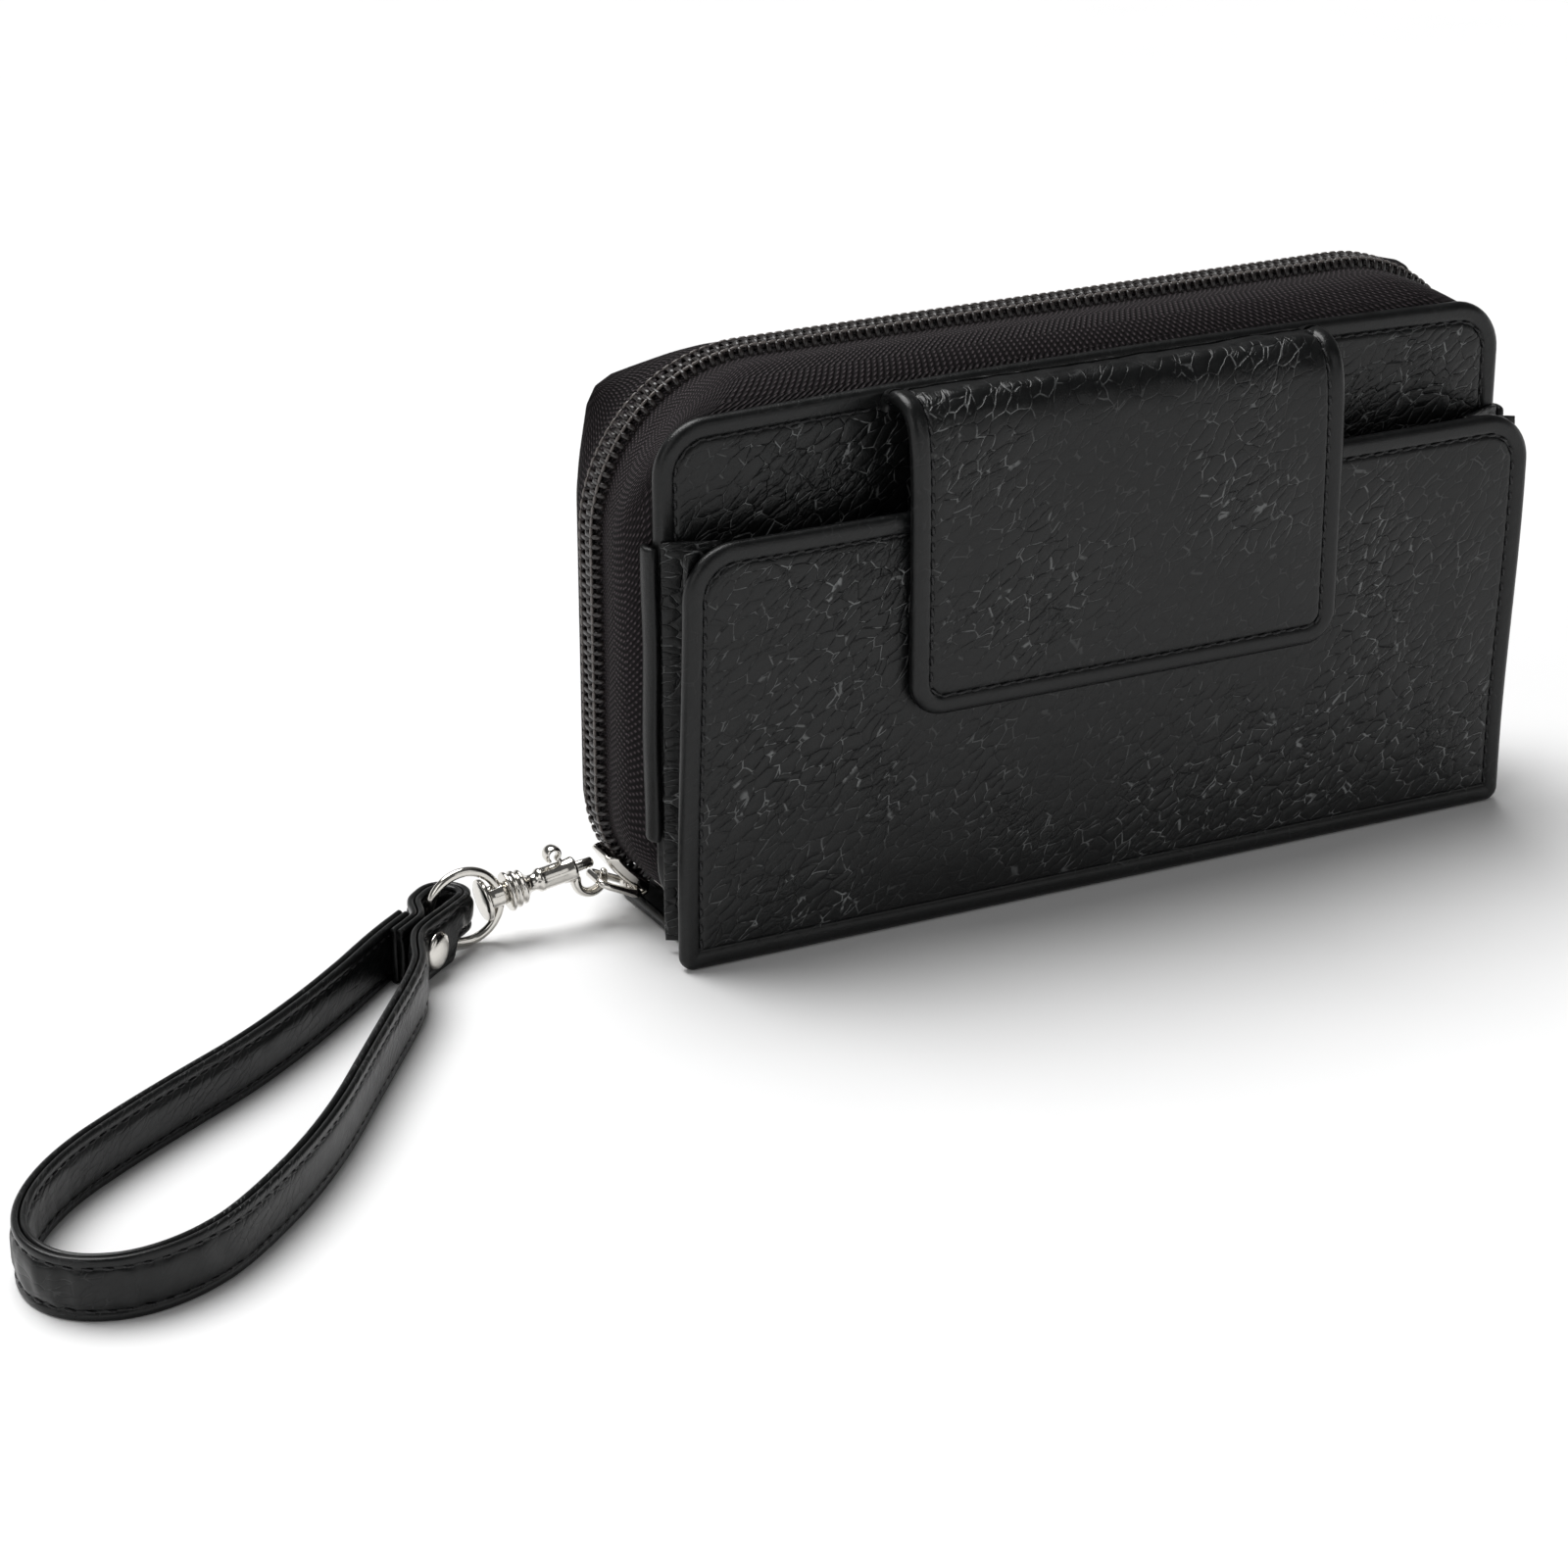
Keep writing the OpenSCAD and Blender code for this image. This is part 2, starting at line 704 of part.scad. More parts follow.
module hook_body() {
  r = barrel_d / 2;
  u_slot = barrel_end - bolt_travel - 3;
  color(nickel)
    hook_frame() {
      difference() {
        union() {
          rod_u(-hub_back - 1, -hub_back - 0.1, 3.2, 3.2);
          rod_u(-hub_back - 0.2, hub_front + 0.2, shank_r, shank_r);
          rod_u(hub_front + 0.1, 2.3, 3.2, 3.2);
          rod_u(2.3, 3.1, 2.6, 2.6);
          rod_u(3.1, 4.1, 3.1, 3.1);
          rod_u(4.1, 5, 2.5, 2.2);
          rod_u(5, barrel_u, 1.5, 1.5);
          rod_u(barrel_u - 1, barrel_u + 0.6, 1.5, r);
          rod_u(barrel_u + 0.6, barrel_end, r, r);
        }
        rod_u(barrel_u + 0.4, barrel_end + 1, bolt_d / 2 + fit, bolt_d / 2 + fit);
        translate([u_slot - 0.6, -knob_slot / 2, 0])
          cube([barrel_end - u_slot - 0.6, knob_slot, r + 1]);
      }
      difference() {
        translate([0, 1, 0]) rotate([90, 0, 0]) linear_extrude(height = 2)
          polygon([[barrel_end - 3.4, -1.5], [barrel_end - 0.2, -1.5],
                   [eye_u - eye_r - 0.2, eye_w + 0.4],
                   [eye_u - 1.2, eye_w - eye_r - 0.2],
                   [eye_u, eye_w - eye_r - jaw_wire * 0.9],
                   [eye_u - 2.2, eye_w - eye_r - 0.6]]);
        translate([eye_u, 2, eye_w]) rotate([90, 0, 0]) cylinder(h = 4, r = eye_r);
      }
      translate([eye_u, 0, eye_w]) rotate([90, 0, 0]) rotate([0, 0, 225])
        rotate_extrude(angle = 165)
          translate([eye_r + jaw_wire / 2, 0]) circle(jaw_wire / 2, $fn = 32);
      translate([eye_u + 2.15, 0, -0.95 - eps]) sphere(r = 0.75);
    }
}

bolt_tip = barrel_end + 3.3;
knob_u = barrel_end - 2.4;

module hook_bolt() {
  color(nickel)
    hook_frame() {
      rod_u(barrel_end - 3.4, bolt_tip, bolt_d / 2, bolt_d / 2);
      translate([knob_u, 0, 0]) cylinder(h = 3.6, r = 0.5);
      translate([knob_u - 0.7, 1.3, 4]) rotate([90, 0, 0]) cylinder(h = 2.6, r = 1.1);
    }
}

module bolt_spring() {
  u0 = barrel_u + 0.5;
  color(nickel)
    hook_frame()
      difference() {
        rod_u(u0, barrel_end - 3.5, bolt_d / 2 - 0.1, bolt_d / 2 - 0.1);
        rod_u(u0 - 1, barrel_end, bolt_d / 2 - 0.4, bolt_d / 2 - 0.4);
      }
}

module swivel_ring() {
  color(nickel)
    hook_frame()
      difference() {
        union() {
          translate([-ring_r, 0, 0]) rotate([90, 0, 0])
            rotate_extrude($fn = 96) translate([ring_r, 0]) circle(ring_wire / 2, $fn = 32);
          rod_u(-hub_back, hub_front, 1.8, 1.8);
        }
        rod_u(-4, 4, shank_r + fit, shank_r + fit);
      }
}

// ---- wrist strap ----

// The strap lies on its edge. In its own frame s runs away from the ring and t
// across, and the ring's wire stands at the frame's origin.
strap_deg = 38;
pivot_x = swivel_x - (ring_r + ring_r - 0.9) * cos(hook_tilt);
wire_room = 2.2;                    // half the room between the plies at the ring
turn_r = wire_room + ply_t;         // middle of the turn through the ring
turn_s = -2.6;
turn_a = turn_r * 1.03;             // its control points stand a little outside it

// Middle line of the strap: the tail, the turn through the ring, the front leg,
// the hand loop and the back leg
strap_points = concat(
  [[13.5, -0.6], [9, -0.6], [6.4, -0.5], [4.4, 0.8], [2.6, 2.4], [1, turn_r - 0.2]],
  [for (a = [90:30:270]) turn_a * [cos(a), sin(a)] + [turn_s, 0]],
  [[2, -turn_r], [8, -3.3], [12, -3.6], [16, -5.8], [22, -9.9], [47, -16.8],
   [76, -25.1], [102, -27.6], [113, -26], [121, -22], [125, -16.6], [126, -11],
   [123.6, -5], [118, 0], [109, 3.6], [98, 5.1], [86, 4.4], [72, 2.9], [57, 0.9],
   [42, 0.5], [28, 1], [19, 1.8], [13, 2.1], [6.8, 2.1]]
);

// The path with its corners cut once; twice over gives a smooth curve
function soften(p) = concat(
  [p[0]],
  [for (i = [0:len(p) - 2]) each [0.75 * p[i] + 0.25 * p[i + 1], 0.25 * p[i] + 0.75 * p[i + 1]]],
  [p[len(p) - 1]]
);

// The curve moved sideways by q, to its left when q is positive
function beside(p, q) = [for (i = [0:len(p) - 1])
  let (e = p[min(i + 1, len(p) - 1)] - p[max(i - 1, 0)])
  p[i] + q * [-e[1], e[0]] / norm(e)];

module strap_frame() {
  translate([pivot_x, y_chain, 0]) rotate([0, 0, 180 + strap_deg]) mirror([0, 1, 0]) children();
}

rivet_s = 8.6;
notch_s = 1.6;     // up to here the strap is cut away below, to pass the ring
notch_z = ring_wire + 1.6;

// One ply between the offsets q0 and q1 from the middle line
module ply(q0, q1) {
  mid = soften(soften(strap_points));
  side_a = beside(mid, q0);
  side_b = beside(mid, q1);
  n = len(mid);
  color(black)
    strap_frame()
      difference() {
        linear_extrude(height = strap_w)
          polygon(concat(side_a, [for (i = [n - 1:-1:0]) side_b[i]]));
        translate([turn_s - turn_r - 4, -turn_r - 4, -1])
          cube([notch_s - turn_s + turn_r + 4, 2 * turn_r + 6, notch_z + 1]);
        translate([rivet_s, 20, strap_w / 2]) rotate([90, 0, 0])
          cylinder(h = 40, r = 1.2 + seam);
      }
}

module strap_outer() { ply(-ply_t, -seam / 2); }
module strap_inner() { ply(seam / 2, ply_t); }

rivet_front = -3.3 - ply_t - 0.4;
rivet_back = 2.1 + ply_t + 0.2;

module rivet_disc(t0, t1) {
  translate([rivet_s, t1, strap_w / 2]) rotate([90, 0, 0]) cylinder(h = t1 - t0, r = rivet_d / 2);
}

module strap_rivet() {
  color(nickel)
    strap_frame() {
      rivet_disc(rivet_front - 1, rivet_front);
      translate([rivet_s, rivet_back, strap_w / 2]) rotate([90, 0, 0])
        cylinder(h = rivet_back - rivet_front + 0.5, r = 1.2);
    }
}

module rivet_cap() {
  color(nickel)
    strap_frame() rivet_disc(rivet_back, rivet_back + 1);
}

base_panel();
base_lining();
pocket_panel();
pocket_lining();
pocket_gusset_left();
pocket_gusset_right();
snap_socket();
socket_washer();
front_cover();
front_board();
front_lining();
front_tape();
front_coil();
rear_tape_end_left();
rear_tape_end_right();
rear_coil_end_left();
rear_coil_end_right();
zip_stops();
card_pocket_tall();
card_pocket_middle();
card_pocket_short();
rear_cover();
rear_board();
rear_lining();
rear_tape();
rear_coil();
bill_pocket();
rear_card_pocket_tall();
rear_card_pocket_short();
flap_bridge();
flap_panel();
flap_lining();
snap_stud();
stud_washer();
coin_pocket_front();
coin_pocket_back();
coin_zip_tape();
coin_zip_chain();
coin_slider();
coin_pull();
slider_body();
pull_ring();
hook_body();
bolt_spring();
hook_bolt();
swivel_ring();
strap_outer();
strap_inner();
strap_rivet();
rivet_cap();
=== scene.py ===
import json
import math

import bmesh
import bpy
import numpy as np
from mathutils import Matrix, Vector


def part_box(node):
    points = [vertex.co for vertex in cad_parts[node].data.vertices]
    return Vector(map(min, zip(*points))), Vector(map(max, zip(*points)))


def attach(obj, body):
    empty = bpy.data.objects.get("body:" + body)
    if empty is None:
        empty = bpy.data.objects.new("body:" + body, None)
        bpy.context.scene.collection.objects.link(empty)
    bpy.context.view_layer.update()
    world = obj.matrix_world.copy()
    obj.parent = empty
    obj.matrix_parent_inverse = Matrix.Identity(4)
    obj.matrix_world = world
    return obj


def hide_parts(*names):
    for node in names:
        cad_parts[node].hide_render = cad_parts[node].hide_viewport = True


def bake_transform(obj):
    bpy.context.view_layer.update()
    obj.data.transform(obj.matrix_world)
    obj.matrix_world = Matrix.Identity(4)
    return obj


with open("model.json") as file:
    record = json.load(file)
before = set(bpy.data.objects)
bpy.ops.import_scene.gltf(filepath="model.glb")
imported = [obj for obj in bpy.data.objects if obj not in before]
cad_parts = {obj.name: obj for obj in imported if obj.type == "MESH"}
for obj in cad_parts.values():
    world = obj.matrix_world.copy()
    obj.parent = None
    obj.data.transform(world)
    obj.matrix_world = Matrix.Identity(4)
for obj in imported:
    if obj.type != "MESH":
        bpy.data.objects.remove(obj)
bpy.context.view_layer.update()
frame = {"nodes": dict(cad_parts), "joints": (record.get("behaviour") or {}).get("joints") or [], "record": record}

scene = bpy.context.scene
scene.view_settings.view_transform = "Standard"
mm = 0.001
print("frame loaded")

# The camera stands at the object's left, above it, and its horizon is almost level
cameraFit = {  # places and lens in millimetres, turns in degrees
    "place": (-342.1, -568.9, 284.7),
    "azimuth": 26.92,
    "elevation": 22.45,
    "roll": -0.12,
    "lens": 95.1,
}


def makeCamera():
    data = bpy.data.cameras.new("camera")
    data.lens = cameraFit["lens"]
    data.sensor_width = 36
    data.clip_start, data.clip_end = 0.01, 50
    cam = bpy.data.objects.new("camera", data)
    scene.collection.objects.link(cam)
    cam.location = [v * mm for v in cameraFit["place"]]
    tilt = math.radians(90 - cameraFit["elevation"])
    cam.rotation_mode = "XYZ"
    turn = -math.radians(cameraFit["azimuth"])
    cam.rotation_euler = (tilt, 0, turn)
    cam.rotation_euler.rotate_axis("Z", math.radians(cameraFit["roll"]))
    scene.camera = cam


makeCamera()

# Numbers shared by several pieces, all in millimetres


def edges(node):
    # lowest and highest corner of a CAD node in millimetres
    low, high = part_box(node)
    return np.array(low) / mm, np.array(high) / mm


coverLow, coverHigh = edges("front_cover")
rearLow, rearHigh = edges("rear_cover")
panelLow, panelHigh = edges("pocket_panel")
_, chainHigh = edges("front_coil")
yPocket = panelLow[1]
yFront = coverLow[1]
coverThick = coverHigh[1] - coverLow[1]
coilGap = 0.9  # slot between the two coils
yChain = chainHigh[1] + coilGap / 2
chainHalf = chainHigh[0]
chainTop = chainHigh[2]
chainRise = 2.4  # thickness of the chain over its tape


def ramp(x, a, b):
    # 0 below a, 1 above b, smooth between them
    t = np.clip((x - a) / (b - a), 0, 1)
    return t * t * (3 - 2 * t)


def ripples(points, seed, waves, reach, lean=(1, 1, 1)):
    # sum of sines in random directions: wavelengths around reach, stretched by lean
    rng = np.random.default_rng(seed)
    total = np.zeros(len(points))
    for _ in range(waves):
        direction = rng.normal(size=3) * lean
        direction *= 2 * math.pi / (reach * rng.uniform(0.7, 1.6)) / np.linalg.norm(direction)
        total += np.sin(points @ direction + rng.uniform(0, 2 * math.pi))
    return total / math.sqrt(waves)


# Meshes


def gridQuads(rows, cols, closeRows=False, closeCols=False):
    # a quad between each four neighbouring samples of a rows by cols grid
    i, j = np.meshgrid(
        np.arange(rows if closeRows else rows - 1),
        np.arange(cols if closeCols else cols - 1),
        indexing="ij",
    )
    k, m = (i + 1) % rows, (j + 1) % cols
    return np.stack([i * cols + j, k * cols + j, k * cols + m, i * cols + m], -1).reshape(-1, 4)


def gridSurface(points, closeRows=False, closeCols=False, uv=None):
    rows, cols = points.shape[:2]
    faces = gridQuads(rows, cols, closeRows, closeCols)
    return points.reshape(-1, 3), faces, None if uv is None else uv.reshape(-1, 2)


def unit(v):
    return v / np.maximum(np.linalg.norm(v, axis=-1, keepdims=True), 1e-9)


def sheetNormals(sheet):
    # cross product of the grid's two central differences
    return unit(np.cross(np.gradient(sheet, axis=0), np.gradient(sheet, axis=1)))


def aroundGrid(values):
    # the border of a grid as one loop
    return np.concatenate([values[:-1, 0], values[-1, :-1], values[:0:-1, -1], values[0, :0:-1]])


def thickSheet(sheet, thick, uv=None, steps=4):
    # a sheet with both faces offset along its normals and a half-round rim all the way round
    normal = sheetNormals(sheet)
    half = thick / 2
    out = np.zeros_like(sheet)
    out[0] += unit(sheet[0] - sheet[1])
    out[-1] += unit(sheet[-1] - sheet[-2])
    out[:, 0] += unit(sheet[:, 0] - sheet[:, 1])
    out[:, -1] += unit(sheet[:, -1] - sheet[:, -2])
    border, borderNormal, borderOut = aroundGrid(sheet), aroundGrid(normal), unit(aroundGrid(out))
    angle = np.radians(np.linspace(90, -90, 2 * steps + 1))[:, None, None]
    rim = border + half * (np.cos(angle) * borderOut + np.sin(angle) * borderNormal)
    borderUv = None if uv is None else np.broadcast_to(aroundGrid(uv), (*rim.shape[:2], 2))
    return [
        gridSurface(sheet + normal * half, uv=uv),
        gridSurface(sheet - normal * half, uv=uv),
        gridSurface(rim, closeCols=True, uv=borderUv),
    ]


def runOf(points):
    # length of a path up to each of its points
    return np.append(0, np.cumsum(np.linalg.norm(np.diff(points, axis=0), axis=1)))


def readAt(at, run, path):
    # a flat path's points at the given lengths along it
    return np.stack([np.interp(at, run, path[:, k]) for k in range(2)], -1)


def repeated(block, quads, caps):
    # sides and end caps of every copy of one small closed shape
    shift = (np.arange(len(block)) * block.shape[1])[:, None, None]
    points = block.reshape(-1, 3)
    return [(points, (faces[None] + shift).reshape(-1, faces.shape[1])) for faces in (quads, caps)]


def tubeFaces(rows, count):
    # side quads and the two end caps of a closed tube of rows rings
    cap = np.arange(count)
    return gridQuads(rows, count, closeCols=True), np.stack([cap[::-1], cap + (rows - 1) * count])


def makePiece(name, surfaces, material, body=None, replaces=(), weld=2e-6, hard=None):
    # joins surfaces into one closed mesh in metres, welds their seams and turns the faces out
    surfaces = [s if len(s) == 3 else (*s, None) for s in surfaces]
    offset = np.cumsum([0] + [len(s[0]) for s in surfaces])
    points = np.concatenate([s[0] for s in surfaces]) * mm
    loops = np.concatenate([(s[1] + o).ravel() for s, o in zip(surfaces, offset)])
    counts = np.concatenate([np.full(len(s[1]), s[1].shape[1]) for s in surfaces])
    mesh = bpy.data.meshes.new(name)
    mesh.vertices.add(len(points))
    mesh.vertices.foreach_set("co", points.ravel())
    mesh.loops.add(len(loops))
    mesh.loops.foreach_set("vertex_index", loops.astype(np.int32))
    mesh.polygons.add(len(counts))
    mesh.polygons.foreach_set("loop_start", np.append(0, np.cumsum(counts)[:-1]).astype(np.int32))
    mesh.polygons.foreach_set("loop_total", counts.astype(np.int32))
    if any(s[2] is not None for s in surfaces):
        uv = np.concatenate(
            [np.zeros((s[1].size, 2)) if s[2] is None else s[2][s[1].ravel()] for s in surfaces]
        )
        mesh.uv_layers.new(name="cloth").data.foreach_set("uv", uv.ravel().astype(np.float32))
    mesh.update()
    bm = bmesh.new()
    bm.from_mesh(mesh)
    if weld:
        bmesh.ops.remove_doubles(bm, verts=bm.verts, dist=weld)
    bmesh.ops.recalc_face_normals(bm, faces=bm.faces)
    for face in bm.faces:
        face.smooth = True
    if hard:
        for edge in bm.edges:
            edge.smooth = len(edge.link_faces) == 2 and edge.calc_face_angle(0) < math.radians(hard)
    bm.to_mesh(mesh)
    bm.free()
    mesh.validate()
    obj = bpy.data.objects.new(name, mesh)
    scene.collection.objects.link(obj)
    mesh.materials.append(material)
    if body:
        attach(obj, body)
    if replaces:
        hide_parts(*replaces)
    return obj


# Materials


class Field:
    # a socket that Math nodes can be hung on with ordinary arithmetic
    def __init__(self, maker, socket):
        self.maker, self.socket = maker, socket

    def math(self, operation, *values):
        return self.maker.node("ShaderNodeMath", {"operation": operation}, dict(enumerate(values)))

    def __add__(self, other):
        return self.math("ADD", self, other)

    def __sub__(self, other):
        return self.math("SUBTRACT", self, other)

    def __rsub__(self, other):
        return self.math("SUBTRACT", other, self)

    def __mul__(self, other):
        return self.math("MULTIPLY", self, other)

    __radd__, __rmul__ = __add__, __mul__

    def fract(self):
        return self.math("FRACT", self)

    def floor(self):
        return self.math("FLOOR", self)

    def sine(self):
        return self.math("SINE", self)


class Finish:
    # one material; node() adds a node, sets its settings and then its sockets
    def __init__(self, name):
        self.material = bpy.data.materials.new(name)
        self.material.use_nodes = True
        self.tree = self.material.node_tree
        self.shader = self.tree.nodes["Principled BSDF"]

    def link(self, socket, value):
        if isinstance(value, Field):
            self.tree.links.new(value.socket, socket)
        else:
            socket.default_value = value

    def node(self, kind, settings=None, sockets=None, out=0):
        made = self.tree.nodes.new(kind)
        for key, value in (settings or {}).items():
            setattr(made, key, value)
        for key, value in (sockets or {}).items():
            self.link(made.inputs[key], value)
        return Field(self, made.outputs[out])

    def place(self, stretch=(1, 1, 1)):
        # object coordinates in millimetres, stretched
        where = self.node("ShaderNodeTexCoord", out="Object")
        scale = [v / mm for v in stretch]
        return self.node("ShaderNodeMapping", None, {"Vector": where, "Scale": scale})

    def parts(self, vector):
        split = self.node("ShaderNodeSeparateXYZ", None, {"Vector": vector})
        outs = split.socket.node.outputs
        return [Field(self, outs[k]) for k in range(3)]

    def vectorMath(self, operation, a, b):
        return self.node("ShaderNodeVectorMath", {"operation": operation}, {0: a, 1: b})

    def noise(self, vector, scale, detail=2.0, rough=0.5, out=0):
        return self.node(
            "ShaderNodeTexNoise",
            None,
            {"Vector": vector, "Scale": scale, "Detail": detail, "Roughness": rough},
            out,
        )

    def cells(self, vector, scale):
        # distance from the nearest edge between two cells
        return self.node(
            "ShaderNodeTexVoronoi", {"feature": "DISTANCE_TO_EDGE"}, {"Vector": vector, "Scale": scale}
        )

    def step(self, value, low, high):
        return self.node(
            "ShaderNodeMapRange",
            {"interpolation_type": "SMOOTHSTEP"},
            {"Value": value, "From Min": low, "From Max": high},
        )

    def spread(self, value, low, high):
        # value from 0..1 to low..high
        return self.node(
            "ShaderNodeMapRange", None, {"Value": value, "To Min": low, "To Max": high}
        )

    def mixColour(self, share, a, b):
        first, second = [(*c, 1) if isinstance(c, tuple) else c for c in (a, b)]
        settings = {"data_type": "RGBA", "clamp_factor": True}
        return self.node("ShaderNodeMix", settings, {0: share, 6: first, 7: second}, out=2)

    def finish(self, colour, rough, height=None, depth=0.1, **constants):
        shader = self.shader
        self.link(shader.inputs["Base Color"], (*colour, 1) if isinstance(colour, tuple) else colour)
        self.link(shader.inputs["Roughness"], rough)
        for name, value in constants.items():
            shader.inputs[name.replace("_", " ")].default_value = value
        if height is not None:
            bump = self.node(
                "ShaderNodeBump", None, {"Height": height, "Distance": depth * mm, "Strength": 1.0}
            )
            self.link(shader.inputs["Normal"], bump)
        return self.material


leatherLook = {
    "colour": (0.0028, 0.0031, 0.0033),
    # lighter colour for the cell middles, which leaves painted shade in the creases, and for the deep-grain
    # patches as a random tone
    "litCellAndPatchColour": (0.0062, 0.0067, 0.0068),
    # pale colour painted on the creases as highlight
    "paintedHighlightColour": (0.17, 0.175, 0.175),
    "grainTurn": math.radians(38),  # the creases' lean, rising to the right
    "grainStretch": (0.24, 0.42, 0.52),  # cells per millimetre along and across the lean
    "grainThrough": 0.04,  # and through the leather, so that a face cuts whole cells
    "wander": 2.4,  # how far a crease strays, in millimetres
    "wanderScale": 0.16,
    "creaseEdge": 0.055,  # a crease's half width, as a share of a cell
    "pillowEdge": 0.3,
    "fineCells": 2.3,  # small creases to each large one
    "pebbleCells": 2.2,  # pores per millimetre
    "patchScale": 0.035,
    "patchEdges": (0.4, 0.62),  # between these the grain passes from faint to deep
    "lineEdges": (0.014, 0.04),
    "dashScale": 0.5,
    "dashEdges": (0.47, 0.6),
    "dashStrength": 0.9,
    "rimBand": (2.4, 5.5),  # the grain starts between these distances from the rim
    "creaseDepth": 0.2,
    "roughLow": 0.25,
    "roughHigh": 0.42,
}


def leather(name, grain=1.0, cell=1.0, axis=1, rough=0.0, paintedHighlight=1.0, fade=True):
    # creases between cells stretched along a lean, deep in patches and nearly gone elsewhere;
    # fine pebble over them, pale dashes of painted highlight in the creases, a smooth band along the rim
    look = leatherLook
    m = Finish(name)
    flat = m.place()
    wander = m.noise(flat, look["wanderScale"], 2, out="Color")
    centred = m.vectorMath("SUBTRACT", wander, (0.5, 0.5, 0.5))
    shift = m.vectorMath("MULTIPLY", centred, [look["wander"]] * 3)
    moved = m.vectorMath("ADD", flat, shift)
    turn = [0, 0, 0]
    turn[axis] = look["grainTurn"]
    turned = m.node("ShaderNodeMapping", None, {"Vector": moved, "Rotation": turn})
    stretch = list(look["grainStretch"])
    stretch[axis] = look["grainThrough"]
    stretched = m.vectorMath("MULTIPLY", turned, [v / cell for v in stretch])
    edge = m.cells(stretched, 1.0)
    crease = m.step(edge, 0.0, look["creaseEdge"])
    pillow = m.step(edge, 0.0, look["pillowEdge"])
    fine = m.step(m.cells(stretched, look["fineCells"]), 0.0, 0.16)
    pebble = m.step(m.cells(flat, look["pebbleCells"] / cell), 0.0, 0.4)
    patches = m.step(m.noise(flat, look["patchScale"], 1.5), *look["patchEdges"])
    finer = m.step(m.noise(flat, 0.1, 2), 0.42, 0.6)
    depth = (patches * 0.8 + 0.2) * grain
    if fade:
        rim, _, _ = m.parts(m.node("ShaderNodeUVMap", {"uv_map": "cloth"}))
        inside = m.step(rim, *look["rimBand"])
        depth = depth * (inside * 0.92 + 0.08)
    height = (crease * 0.55 + pillow * 0.45) * depth + fine * finer * depth * 0.3
    height = height + pebble * (0.07 * grain) + m.noise(flat, 6.0, 3) * 0.03
    # pale dash marks along the creases: painted highlight where the crease flanks would catch the light
    line = 1 - m.step(edge, *look["lineEdges"])
    broken = m.step(m.noise(flat, look["dashScale"], 2), *look["dashEdges"])
    dashes = line * broken * depth * (look["dashStrength"] * paintedHighlight)
    # cells lighter in their middles and darker into the creases: painted shade in the creases; lighter in the
    # deep-grain patches: random tone
    tone = m.mixColour(pillow * 0.6 + patches * 0.4, look["colour"], look["litCellAndPatchColour"])
    tone = m.mixColour(dashes, tone, look["paintedHighlightColour"])
    gloss = m.spread(m.noise(flat, 0.5, 3), look["roughLow"] + rough, look["roughHigh"] + rough)
    return m.finish(tone, gloss, height, look["creaseDepth"], Specular_IOR_Level=0.32)


def smoothLeather(name, rough=0.36):
    # stretched leather over an edge: almost no grain, fine pores and a soft gloss
    m = Finish(name)
    flat = m.place()
    pores = m.step(m.cells(flat, 2.6), 0.0, 0.3)
    height = pores * 0.35 + m.noise(flat, 1.2, 4) * 0.6
    gloss = m.spread(m.noise(flat, 0.7, 3), rough - 0.05, rough + 0.1)
    tone = m.mixColour(pores, (0.003, 0.0032, 0.0034), (0.0065, 0.007, 0.0072))
    return m.finish(tone, gloss, height, 0.05, Specular_IOR_Level=0.3)


def threadFinish(name):
    # twisted thread: fine slanting strands
    m = Finish(name)
    strands = m.node(
        "ShaderNodeTexWave", {"bands_direction": "DIAGONAL"}, {"Vector": m.place(), "Scale": 1.4}
    )
    tone = m.mixColour(strands, (0.008, 0.008, 0.009), (0.02, 0.02, 0.021))
    return m.finish(tone, 0.5, strands, 0.05, Specular_IOR_Level=0.4)


weave = {"band": 2.5, "rib": 0.8, "yarn": 0.66, "lining": 0.5}  # repeats in millimetres


def tapeFinish(name):
    # herringbone weave: slanting ribs that turn at each band, read from the tape's own map
    m = Finish(name)
    u, v, _ = m.parts(m.node("ShaderNodeUVMap", {"uv_map": "cloth"}))
    band = (v * (1 / weave["band"])).floor()
    side = (band * 0.5).fract() * 4 - 1  # +1 or -1 by turns
    rib = (((u * 0.8 + side * v * 0.6) * (2 * math.pi / weave["rib"])).sine() + 1) * 0.5
    yarn = (((u * 0.6 - side * v * 0.8) * (2 * math.pi / weave["yarn"])).sine() + 1) * 0.5
    fuzz = m.noise(m.place(), 1.6, 4)
    height = rib * 0.7 + rib * yarn * 0.6 + fuzz * 0.3
    # pale marks on the crowns of the yarns: painted sheen
    crownSheen = m.step(rib * yarn * (fuzz * 0.9 + 0.55), 0.42, 0.85)
    tone = m.mixColour(rib, (0.0028, 0.0018, 0.0022), (0.011, 0.0078, 0.0092))
    tone = m.mixColour(crownSheen * 0.85, tone, (0.088, 0.072, 0.078))
    return m.finish(tone, 0.75, height, 0.2, Specular_IOR_Level=0.2)


def clothFinish(name, colour=(0.012, 0.011, 0.012), lighter=(0.03, 0.028, 0.03)):
    # plain weave lining
    m = Finish(name)
    x, _, z = m.parts(m.place())
    warp = ((x * (2 * math.pi / weave["lining"])).sine() + 1) * 0.5
    weft = ((z * (2 * math.pi / weave["lining"])).sine() + 1) * 0.5
    height = warp * 0.5 + weft * 0.5 + m.noise(m.place(), 2.0, 3) * 0.4
    tone = m.mixColour(height * 0.8, colour, lighter)
    return m.finish(tone, 0.7, height, 0.08, Specular_IOR_Level=0.3, Sheen_Weight=0.1)


